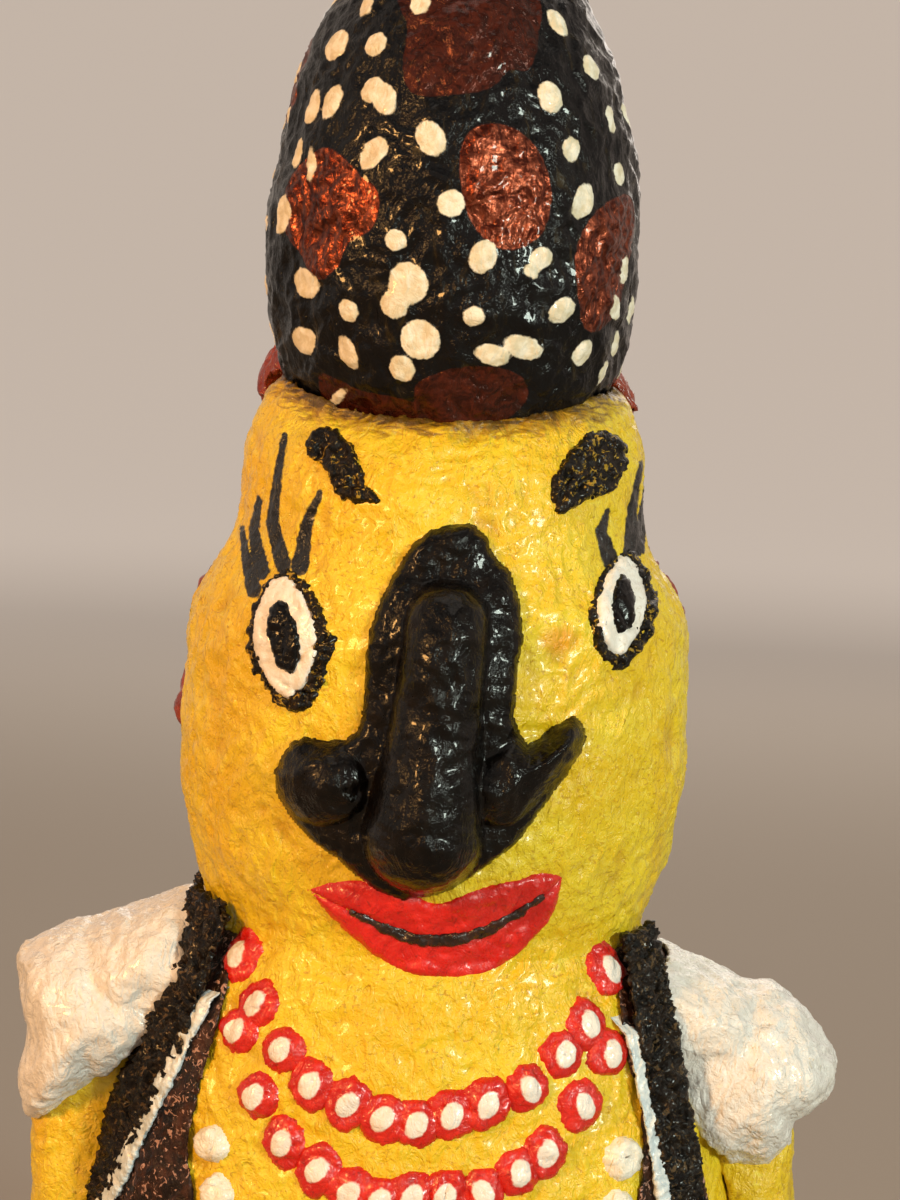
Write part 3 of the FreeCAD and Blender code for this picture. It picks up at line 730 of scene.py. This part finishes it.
# each sleeve's outline from the front as (across, up) in millimetres
SLEEVE_OUTLINES = {
    "left": [
        (-51.3, 78.6), (-48.2, 80.9), (-39.6, 83.8), (-27.8, 87.4), (-23.9, 82.9), (-27.3, 73.8),
        (-34.1, 69.7), (-40.2, 63.7), (-43.9, 61), (-47, 58.3), (-49.5, 57.4), (-50.3, 62.6),
        (-49.5, 67.8), (-50.5, 72.9),
    ],
    "right": [
        (27.4, 81.5), (30.9, 81.1), (34.5, 80.2), (40.2, 78.5), (44, 77.8), (47.3, 75.6), (50.6, 71.9),
        (52.8, 67.9), (52.5, 65.6), (49.8, 62.6), (46.7, 61.2), (46.7, 57.6), (43.9, 54.7), (40.1, 55.3),
        (36.1, 59.1), (33.2, 62.9), (30.6, 68.5), (27, 76.1),
    ],
}


def make_arm(side):
    """A bent arm that widens upwards under its sleeve."""
    mesh = remeshed(joined(f"{side}_arm"), 0.4)
    points = points_of(mesh)
    x, _, z = points.T
    top, outer, inner = (value * MM for value in ARM_TOPS[side])
    start = 48 * MM
    share = np.clip((z - start) / (10 * MM), 0, 1)
    low, high = x.min(), x.max()
    wide = min(outer, inner) + (x - low) / (high - low) * abs(outer - inner)
    points[:, 0] = x + share * (wide - x)
    points[:, 2] = np.where(z > start, start + (z - start) * (top - start) / (z.max() - start), z)
    move_points(mesh, points)
    mesh = remeshed(mesh, 0.4)
    roughen(mesh, 0.26 * MM, 2.6 * MM)
    # the arms carry none of the head's marks: no painted shade under the hat, no lashes and no smudge
    for name in ("hat_edge_shade", "lashes", "smudge"):
        store(mesh, name, np.full(len(mesh.vertices), 0.0 if name == "hat_edge_shade" else 1.0))
    show(f"painted_{side}_arm", mesh, YELLOW, "yellow_pulp", f"{side}_arm")


def fit_outline(mesh, outline, bins=64):
    """Stretches a mesh across and up, so that it fills an outline seen from the front."""
    points = points_of(mesh)
    centre = np.mean(outline, axis=0)
    edge = np.array(outline + outline[:1])
    steps = np.linspace(0, 1, 40)[:, None]
    edge = np.vstack([a + steps * (b - a) for a, b in zip(edge, edge[1:])])

    def reach(places):
        offset = places - centre
        angle, radius = np.arctan2(offset[:, 1], offset[:, 0]), np.hypot(*offset.T)
        bin_of = ((angle / (2 * math.pi) + 0.5) * bins).astype(int) % bins
        return np.array([radius[bin_of == k].max() for k in range(bins)]), angle

    target, _ = reach(edge)
    present, angle = reach(points[:, [0, 2]])
    middles = (np.arange(bins) + 0.5) / bins * 2 * math.pi - math.pi
    factor = np.interp(angle, middles, target / present, period=2 * math.pi)[:, None]
    points[:, [0, 2]] = centre + (points[:, [0, 2]] - centre) * factor
    move_points(mesh, points)


def make_sleeve(side):
    mesh = remeshed(joined(f"{side}_sleeve"), 0.4)
    fit_outline(mesh, [(a * MM, b * MM) for a, b in SLEEVE_OUTLINES[side]])
    mesh = remeshed(mesh, 0.4)
    roughen(mesh, 0.4 * MM, 3.6 * MM, 0.8, shift=3.0)
    show(f"puffed_{side}_sleeve", mesh, WHITE, "white_pulp", f"{side}_sleeve")


for side in ("left", "right"):
    make_arm(side)
    make_sleeve(side)


# ---- hat and hair

# how much of the hat's height is painted; the rest stands in the head
HAT_PAINTED = 66.5 * MM
# spots as (azimuth in degrees, height in millimetres over the painted foot, width, height in millimetres)
FRONT_SPOTS = [
    (-54, 49.5, 4.2, 4), (-33, 49.5, 3, 2.9), (-30, 44, 3.2, 3.2), (-25, 43, 3, 4),
    (-57, 42, 3, 4), (-47, 42.5, 2.8, 4.3), (-8, 38.5, 3.3, 4.3), (-26, 36.5, 3.2, 4.3),
    (-59, 36.5, 2.4, 3.7), (-50, 35, 1.6, 4.2), (-62, 29, 3.8, 5), (-1, 31, 3.2, 3.1),
    (-17, 26.5, 2.6, 2.4), (-50, 21, 5.2, 3.6), (-13, 21.5, 4.6, 5), (-17, 19, 3.4, 3.2),
    (-32, 18, 2.4, 2.7), (7, 18, 2.6, 2.3), (9, 25, 3.2, 3.9), (27, 25, 3.2, 2.6),
    (24, 23.5, 2.2, 1.6), (-54, 14, 4.4, 3.4), (-34, 13, 3, 4), (-9, 15, 4.8, 4.6),
    (-15, 11.5, 3, 3.3), (14, 13.5, 4.4, 2.4), (24, 14.5, 5, 2.8), (35, 19, 3.8, 2.8),
    (47, 14, 2.8, 3.4), (63, 11.5, 3, 3.2), (69, 15, 2.4, 3.2), (88, 12, 3, 3),
    (60, 19.5, 2.6, 3.2), (66, 24, 2.4, 3.4), (82, 19, 2.8, 3.8), (42, 53, 2.6, 3.6),
    (53, 48, 3, 3.2), (32, 44, 3, 3.8), (60, 42, 2.4, 3.2), (39, 38, 2.6, 3),
    (63, 35.5, 2.4, 2.9), (42, 32, 3.2, 4.4), (80, 42.5, 2.6, 3.6), (-18, 54.5, 2.6, 3),
    (-45, 54, 3, 2.4), (-44, 7.5, 3.6, 1.2), (90, 7, 2.4, 1.6), (45, 5, 3.4, 1.8),
]
# copper areas as outlines of (azimuth in degrees, height in millimetres over the painted foot)
COPPER_AREAS = [
    [(-46, 37), (-37, 36), (-30, 34), (-23, 32), (-24, 28), (-32, 26), (-36, 23), (-43, 21.5), (-51, 24),
     (-61, 28), (-58, 34)],
    [(1, 36), (4, 39.5), (12, 40.5), (21, 39.5), (28, 36.5), (30, 32), (27, 28), (19, 26), (11, 26.5),
     (4, 30)],
    [(48, 31), (68, 33), (72, 28), (60, 18.5), (45, 17), (39, 25)],
]
DULL_AREAS = [
    [(-20, 46.5), (-14, 43.5), (4, 44), (12, 45), (18, 47), (27, 48), (34, 60), (-36, 60), (-22, 52)],
    [(-11, 9), (-4, 11), (6, 12), (16, 12), (25, 11), (29, 8.5), (22, 5.5), (6, 3), (-8, 4)],
    [(-50, 10), (-32, 8.5), (-12, 7.5), (8, 4), (10, 0), (-20, -2), (-50, 2)],
]


def back_spots():
    """Spots for the sides and back, in uneven rows."""
    rng = np.random.default_rng(11)
    spots = []
    for row, height in enumerate(range(6, 60, 7)):
        count = 13 if height < 45 else 9
        for k in range(count):
            azimuth = 98 + (k + 0.5 * (row % 2)) * 186 / count + rng.uniform(-5, 5)
            width, tall = rng.uniform(2.2, 4.2), rng.uniform(2.4, 4.2)
            spots.append((azimuth, height + rng.uniform(-1.6, 1.6), width, tall))
    return spots


def back_copper():
    """Copper areas for the sides and back, as uneven rounds."""
    rng = np.random.default_rng(23)
    areas, corners, half_height = [], 9, 6
    for azimuth, height, reach in ((118, 40, 14), (160, 22, 17), (205, 42, 15), (250, 18, 16), (275, 46, 12)):
        outline = []
        for k in range(corners):
            angle = 2 * math.pi * k / corners
            spread = rng.uniform(0.8, 1.15)
            outline.append((azimuth + reach * spread * math.cos(angle),
                            height + half_height * spread * math.sin(angle)))
        areas.append(outline)
    return areas


def make_hat():
    """The wrinkled headwrap with its painted spots and crinkled copper areas."""
    mesh = remeshed(joined("hat_shell", "hat_core"), 0.38)
    roughen(mesh, 0.3 * MM, 3.4 * MM, 1.25, shift=9.0)
    skin = Skin(mesh)
    points, normals = points_of(mesh), normals_of(mesh)
    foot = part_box("hat_shell")[1].z - HAT_PAINTED
    azimuth = np.degrees(np.arctan2(points[:, 0], -points[:, 1]))
    rise = (points[:, 2] - foot) / MM

    spots = np.full(len(points), 1.0)
    for i, (turn, height, width, tall) in enumerate(FRONT_SPOTS + back_spots()):
        point, normal = skin.round(turn, foot + height * MM)
        across, up = near_plane(points, point, normal, 4 * MM)
        tilt = math.radians(35) * math.sin(2.4 * i)
        oval = oval_distance(*leaned(across, up, tilt), width / 2 * MM, tall / 2 * MM)
        spots = np.minimum(spots, np.where(across > 0.5, 1.0, oval))
    store(mesh, "spots", spots)

    def area_distance(areas):
        nearest = np.full(len(points), 1.0)
        for outline in areas:
            turn, height = (sum(values) / len(outline) for values in zip(*outline))
            point, _ = skin.round(turn, foot + height * MM)
            per_degree = math.radians(math.hypot(point.x, point.y)) / MM
            offset = (azimuth - turn + 180) % 360 - 180
            line = smooth_loop([((a - turn) * per_degree, h) for a, h in outline])
            nearest = np.minimum(nearest, outline_distance(offset * per_degree, rise, line) * MM)
        return nearest

    copper, dull = area_distance(COPPER_AREAS + back_copper()), area_distance(DULL_AREAS)
    store(mesh, "copper", copper)
    store(mesh, "dull_copper", dull)
    crinkle = np.clip(-copper / (1.2 * MM), 0, 1) * (folds(points, 2.0 * MM, 2.0) - 0.4) * 0.35 * MM
    thick = np.clip(-spots / (0.4 * MM), 0, 1) * 0.18 * MM
    move_points(mesh, points + normals * (crinkle + thick)[:, None])
    show("spotted_hat", mesh, HAT, "hat_pulp", "hat_shell")


def make_hair():
    """Red-brown hair over the back of the head, its brushed edge thinning out behind the cheeks."""
    mesh = remeshed(joined("hair"), 0.4)
    roughen(mesh, 0.3 * MM, 3.0 * MM, shift=6.0)
    points, normals = points_of(mesh), normals_of(mesh)
    points += normals * 0.5 * MM * (folds(points * (1, 1, 0.22), 2.6 * MM, 0.8, 4.0) - 0.5)[:, None]
    x, y, z = points.T
    edge = 8.5 * MM + 3.0 * MM * lumps(points, 6 * MM)
    temple = np.where(x < 0, np.exp(-((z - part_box("hair")[0].z - 12 * MM) / (7 * MM)) ** 4), 0)
    beside_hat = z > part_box("head_skin")[1].z - 3 * MM
    edge = np.where(beside_hat, -9 * MM, edge - 4.5 * MM * temple)
    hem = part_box("hair")[0].z + 3 * MM + 1.5 * MM * lumps(points, 4 * MM, 2.0)
    thinned = np.clip(np.maximum((edge - y) / (3 * MM), (hem - z) / (2.5 * MM)), 0, 1)
    move_points(mesh, sunk(points, thinned ** 2 * 2.2 * MM))
    show("painted_hair", mesh, HAIR, "hair_pulp", "hair")


make_hat()
make_hair()


# ---- the face

# the nose's outline as (across, up) in millimetres from the middle of its CAD solid
NOSE_OUTLINE = [
    (1.6, 21.8), (-2, 20.6), (-4.2, 17.8), (-6.4, 13.8), (-8, 8.8), (-8.4, 0.2), (-9.4, -3.2),
    (-12.2, -4.2), (-16.2, -4.6), (-18.6, -8.4), (-17.8, -12.4), (-14.6, -15.8), (-9.8, -19.2),
    (-6.2, -21.8), (-2.6, -22.8), (2.2, -21.6), (5.2, -19.4), (9.8, -15.8), (14, -9.8), (17.8, -3.8),
    (16.6, -0.6), (14, -1.6), (11.2, -3.6), (9.4, -0.6), (9.4, 5.2), (9.8, 9.6), (8.6, 15.4),
    (6.4, 18.2), (4.4, 21.2),
]


def make_nose():
    """A broad black pad with a finger-shaped ridge, a blunt tip and a winged nostril on each side."""
    middle = middle_of("nose")

    def ridge(u, v, inside):
        x, z = u - middle.x, v - middle.z
        edge = np.clip(inside / (2.2 * MM), 0, 1)
        away, along = line_distance(x, z, (1.0 * MM, 10.5 * MM), (-0.8 * MM, -14.5 * MM))
        reach = (5.0 + 2.2 * along ** 2) * MM
        finger = (5.4 + 2.8 * along ** 1.5) * MM * np.sqrt(np.clip(1 - (away / reach) ** 2, 0, 1))
        left = -oval_distance(x + 13.2 * MM, z + 9.2 * MM, 5.6 * MM, 5.0 * MM) / (5.0 * MM)
        away, along = line_distance(x, z, (8.0 * MM, -9.0 * MM), (15.8 * MM, -2.6 * MM))
        right = 1 - away / ((4.2 - 1.4 * along) * MM)
        wings = np.sqrt(np.clip(np.maximum(left, right), 0, 1)) * 3.2 * MM
        return edge * np.maximum(finger, wings)

    def cast(u, v):
        return SKIN.front(u, v)[0], FORWARD

    outline = smooth_loop(round_middle(middle, NOSE_OUTLINE))
    mesh = laid("painted_nose", outline, cast, 1.9 * MM, 1.6 * MM, 0.12 * MM, 1.8 * MM, 0.4 * MM,
                swell=ridge)
    show("painted_nose", mesh, NOSE, "black_pulp", "nose")


# each almond's place from its CAD solid (across, up), its half width and height, all in millimetres, and
# how many degrees its top leans to the left
EYES = {
    "left": (-0.1, 0.1, 4.1, 7.3, 6),
    "right": (0.3, -1.4, 3.2, 5.8, -4),
}


def make_eye(side):
    """The crumbly rim, the white almond in it and its dark middle."""
    across, up, half_width, half_height, tilt = EYES[side]
    middle = middle_of(f"{side}_eyeball")
    centre = (middle.x + across * MM, middle.z + up * MM)

    def almond(grow, share=1.0, aside=0.0):
        return oval_outline((centre[0] + aside * MM, centre[1] - aside * MM),
                            (half_width * share + grow) * MM, (half_height * share + grow) * MM, 1.6, tilt)

    def part(name, outline, thickness, material, slot, node, **more):
        show(name, laid(name, outline, SKIN.front, thickness, **more), material, slot, node)

    part(f"crumbly_{side}_eye_rim", almond(1.1, aside=0.45), 0.6 * MM, CRUMBS, "black_pulp",
         f"{side}_eye_rim", rough=1.2 * MM, grain=0.7 * MM, ragged=0.9 * MM, hole=almond(-0.8),
         step=0.25 * MM)
    part(f"painted_{side}_eye", almond(0), 0.9 * MM, EYE, "eye_white", f"{side}_eyeball", ragged=0.25 * MM,
         rough=0.15 * MM)
    pupil = oval_outline(centre, 0.5 * half_width * MM, 0.62 * half_height * MM, 1.7, tilt + 6)
    part(f"painted_{side}_pupil", pupil, 1.5 * MM, PUPIL, "black_pulp", f"{side}_pupil",
         ragged=0.35 * MM, rough=0.25 * MM, step=0.25 * MM)


# each brow's outline as (across, up) in millimetres from the middle of its CAD solid
BROWS = {
    "left_brow": [(-2.2, 2.6), (-0.6, 4.4), (2, 3.8), (4.2, 1), (5, -1.6), (6.6, -3), (5.8, -3.9),
                  (3.8, -3.8), (1.6, -2.6), (0, 0.4), (-1.8, 1)],
    "right_brow": [(-3.2, 0.6), (-0.2, 4.4), (3.2, 4.7), (5.4, 2.7), (4.5, -1.1), (2.4, -2.4), (0.2, -2.9),
                   (-2.4, -4.6), (-3.6, -2.9), (-3.8, -1.2)],
}


def make_brow(node):
    outline = smooth_loop(round_middle(middle_of(node), BROWS[node]))
    mesh = laid(node, outline, SKIN.front, 0.8 * MM, 0.5 * MM, 1.1 * MM, 1.1 * MM, 0.7 * MM, step=0.25 * MM)
    show(f"crumbly_{node}", mesh, CRUMBS, "black_pulp", node)


# the lips' edges as (across, up) in millimetres from the middle of the mouth, from one corner to the other
LIP_TOP = [(-15, 2.8), (-10, 4.6), (-4, 4.2), (0.2, 2.4), (5.5, 4.4), (13, 6.2), (15.2, 5.4)]
LIP_MEETING = [(-15, 2.8), (-9.8, 0.9), (-5, -1.2), (0, -2.2), (7, -0.6), (13.2, 3.6), (15.2, 5.4)]
LIP_BOTTOM = [(-15, 2.8), (-11, -1.2), (-5, -5.6), (1.2, -6.8), (8.4, -5.4), (14, 0.2), (15.2, 5.4)]


def make_lips():
    """Two lips that meet in a dark brushed line."""
    mouth = middle_of("upper_lip", "lower_lip")
    top, meeting, bottom = (round_middle(mouth, edge) for edge in (LIP_TOP, LIP_MEETING, LIP_BOTTOM))
    for node, upper, lower in (("upper_lip", top, meeting), ("lower_lip", meeting, bottom)):
        name = f"painted_{node}"
        outline = smooth_line(upper, 30) + smooth_line(lower, 30)[-2:0:-1]
        mesh = laid(name, outline, SKIN.front, 0.6 * MM, 1.4 * MM, 0.2 * MM, 1.8 * MM, 0.2 * MM)
        show(name, mesh, LIP, "lip_red", node)
    outline = stroke_outline(meeting[1:-1], [0.35 * MM, 0.8 * MM, 0.95 * MM, 0.8 * MM, 0.4 * MM])
    mesh = laid("mouth_line", outline, SKIN.front, 0.8 * MM, 0.4 * MM, 0.3 * MM, ragged=0.4 * MM,
                step=0.2 * MM)
    show("mouth_line", mesh, MOUTH, "lip_red")


make_nose()
for side in EYES:
    make_eye(side)
for node in BROWS:
    make_brow(node)
make_lips()


# ---- clothes

def turned(points, turn):
    """The points moved round the torso, whose section is an ellipse."""
    wide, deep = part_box("torso_skin")[1].x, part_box("torso_skin")[1].y
    angle = np.arctan2(points[:, 0] / wide, -points[:, 1] / deep)
    reach = np.hypot(points[:, 0] / wide, points[:, 1] / deep)
    return np.stack([wide * reach * np.sin(angle + turn), -deep * reach * np.cos(angle + turn),
                     points[:, 2]], axis=1)


# each armhole's front edge as (across, up) in millimetres, from the shoulder down
ARMHOLES = {
    "left": [(-30, 86), (-29.8, 78), (-32.4, 72), (-35.4, 68), (-37.7, 63), (-41.8, 56)],
    "right": [(33, 86), (33, 72), (33.6, 65), (36.4, 54), (38, 46)],
}


def make_bodice():
    """The brown vest with an armhole round each arm, where the yellow skin shows."""
    mesh = remeshed(joined("bodice"), 0.42)
    roughen(mesh, 0.22 * MM, 2.2 * MM, shift=15.0)
    points = points_of(mesh)
    x, y, z = points.T
    hole = np.full(len(x), -1.0)
    for side, edge in ARMHOLES.items():
        across, up = np.array(edge[::-1]).T * MM
        beyond = np.abs(x) - np.abs(np.interp(z, up, across))
        own = (x < 0) == (side == "left")
        over = z - up[0] - 14 * MM * (y / (18 * MM)) ** 2
        hole = np.where(own, np.minimum(beyond, over), hole)
    move_points(mesh, sunk(points, np.clip(hole / (0.5 * MM) + 0.5, 0, 1) * 2.6 * MM))
    show("painted_bodice", mesh, VEST, "bodice_pulp", "bodice")


def make_band(name, node, material, slot, voxel, wrinkle, size, turn, top, rise=0.0):
    """A band of the vest, moved round by turn, raised by rise at the shoulder, and fading above its top."""
    mesh = remeshed(joined(node), voxel)
    roughen(mesh, wrinkle, size, shift=18.0)
    points = turned(points_of(mesh), turn)
    share = np.clip((points[:, 2] - 70 * MM) / (14 * MM), 0, 1)
    points[:, 2] += rise * share
    points = sunk(points, -0.25 * rise * share)
    move_points(mesh, sunk(points, np.clip((points[:, 2] - top) / (2 * MM), 0, 1) * 2.5 * MM))
    show(name, mesh, material, slot, node)


make_bodice()
for side, strap_turn, strap_rise, piping_turn, piping_top in (
    ("left", -0.03, 4 * MM, -0.065, 77 * MM), ("right", 0.09, 2 * MM, 0.1, 75 * MM),
):
    make_band(f"rough_{side}_strap", f"{side}_strap", STRAP, "black_pulp", 0.35, 1.0 * MM, 1.9 * MM,
              strap_turn, 0.2, strap_rise)
    make_band(f"painted_{side}_piping", f"{side}_piping", PIPING, "piping_paint", 0.25, 0.35 * MM,
              1.7 * MM, piping_turn, piping_top)


def make_dabs(name, node, material, slot, half, thickness, middle):
    """A row of thick painted dabs, one where each of the node's solids is; middle is its white centre."""
    rng = np.random.default_rng(len(name))
    dabs = []
    for k, centre in enumerate(shells_of(node)):
        turn = math.degrees(math.atan2(centre.x, -centre.y))
        point, normal = SKIN.round(turn, centre.z)
        right, upward = plane_at(point, normal)
        tilt, width, tall = rng.uniform(-35, 35), half * rng.uniform(0.9, 1.1), half * rng.uniform(0.95, 1.2)
        place = Vector((rng.uniform(-0.4, 0.4), rng.uniform(-0.6, 0.6))) * MM
        lean = math.radians(rng.uniform(-40, 40))

        def cast(u, v):
            return SKIN.cast(point + right * u + upward * v + normal * 6 * MM, -normal)

        def dome(u, v, inside):
            away = np.hypot(u - place[0], v - place[1]) / (1.25 * middle)
            return 0.5 * MM * np.sqrt(np.clip(1 - away ** 2, 0, 1))

        outline = oval_outline(place, width, tall, 1.7, tilt)
        mesh = laid(f"{name}_{k}", outline, cast, thickness, 1.2 * MM, 0.2 * MM, 1.2 * MM, 0.45 * MM,
                    swell=dome if middle > 0 else None)
        across, up = near_plane(points_of(mesh), point, normal, reach=1.0)
        across, up = leaned(across - place[0], up - place[1], lean)
        store(mesh, "middle", oval_distance(across, up, 0.9 * middle, 1.2 * middle))
        dabs.append(mesh)
    mesh = merged(dabs)
    mesh.shade_smooth()
    show(name, mesh, material, slot, node)


make_dabs("upper_beads", "upper_necklace", BEAD, "bead_pulp", 2.9 * MM, 0.7 * MM, 1.4 * MM)
make_dabs("lower_beads", "lower_necklace", BEAD, "bead_pulp", 2.9 * MM, 0.7 * MM, 1.4 * MM)
make_dabs("scallop_dabs", "neckline_scallops", CREAM, "white_pulp", 2.3 * MM, 1.5 * MM, -1.0)


# ---- CAD pieces that keep their shape

for node, material in {
    "base_plinth": LACQUER, "base_gasket": RUBBER, "mount_inserts": BRASS, "screw_washer": STEEL,
    "base_screw": STEEL, "arm_wire": STEEL, "spine_dowel": DOWEL, "torso_core": PAPER,
    "head_core": PAPER, "hat_core": PAPER,
}.items():
    finish(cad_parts[node].data, material)


# ---- floor, light and camera

def make_room():
    """A pale floor that curves up into a wall all round, with a painted glow that grows away from the middle.
    """
    flat, bend, wall, segments, steps = 1.6, 1.2, 3.4, 96, 16
    outline = [(flat, 0.0)]
    for k in range(1, steps + 1):
        angle = math.pi / 2 * k / steps
        outline.append((flat + bend * math.sin(angle), bend * (1 - math.cos(angle))))
    outline.append((flat + bend, wall))
    points = [(0, 0, 0)]
    turns = [2 * math.pi * k / segments for k in range(segments)]
    for radius, height in outline:
        points += [(radius * math.cos(turn), radius * math.sin(turn), height) for turn in turns]
    faces = [(0, 1 + k, 1 + (k + 1) % segments) for k in range(segments)]
    for ring in range(len(outline) - 1):
        first = 1 + ring * segments
        for k in range(segments):
            other = (k + 1) % segments
            faces.append((first + k, first + segments + k, first + segments + other, first + other))
    room = add_object("room", mesh_from("room", points, faces))
    paint = Paint("glowing_room_paint", Roughness=0.9)
    paint.set("Base Color", linear("948B81"))
    # painted light: the room glows, not at all within 0.45 m of the middle and at full strength from 1.5 m
    # out
    away = paint.make("ShaderNodeVectorMath", operation="LENGTH")
    paint.join(paint.place, away.inputs[0])
    paint.set("Emission Color", linear("F8E9DC"))
    paint.set("Emission Strength", paint.fade(away.outputs["Value"], 0.45, 1.5, 0.0, 0.43))
    room.data.materials.append(paint.material)


def make_light(name, target, place, size, power, colour):
    light = bpy.data.lights.new(name, "AREA")
    light.size = size
    light.energy = power
    light.color = linear(colour)[:3]
    lamp = add_object(name, light)
    lamp.location = place
    lamp.rotation_euler = (target - Vector(place)).to_track_quat("-Z", "Y").to_euler()
    lamp.visible_camera = False


def make_camera(target, distance, elevation, roll, frame_height):
    """A long lens slightly above the face, turned a little so that the figure leans as it stands."""
    camera = add_object("camera", bpy.data.cameras.new("camera"))
    back = bearing(0, elevation)
    level = Vector((1, 0, 0))
    right, top = leaned(level, back.cross(level), math.radians(roll))
    facing = Matrix((right, top, back)).transposed().to_4x4()
    camera.matrix_world = Matrix.Translation(target + back * distance) @ facing
    sensor = 36
    camera.data.sensor_width = sensor
    camera.data.lens = sensor * distance / frame_height
    camera.data.clip_start, camera.data.clip_end = 0.02, 20
    bpy.context.scene.camera = camera


# each light's place, size, power and colour
LIGHTS = {
    "warm_key": ((-0.5, -0.5, 0.36), 0.11, 4.1, "FFBC6C"),
    "cool_key": ((0.42, -0.5, 0.26), 0.1, 2.6, "F0FFF0"),
    "top_fill": ((0.0, 0.1, 0.9), 0.6, 1.2, "FFF3E4"),
    "back_fill": ((0.1, 0.8, 0.5), 0.6, 2.0, "FFF6EC"),
}
CHEST = Vector((0, 0, 0.12))
LOOK_AT = Vector((1.35 * MM, 0, 125 * MM))

make_room()
for name, values in LIGHTS.items():
    make_light(name, CHEST, *values)
world = bpy.data.worlds.new("studio")
bpy.context.scene.world = world
world.use_nodes = True
background = world.node_tree.nodes["Background"]
background.inputs["Color"].default_value = linear("F2EAE2")
background.inputs["Strength"].default_value = 0.22
bpy.context.scene.view_settings.view_transform = "Standard"
make_camera(LOOK_AT, distance=0.42, elevation=6.0, roll=2.3, frame_height=0.15)
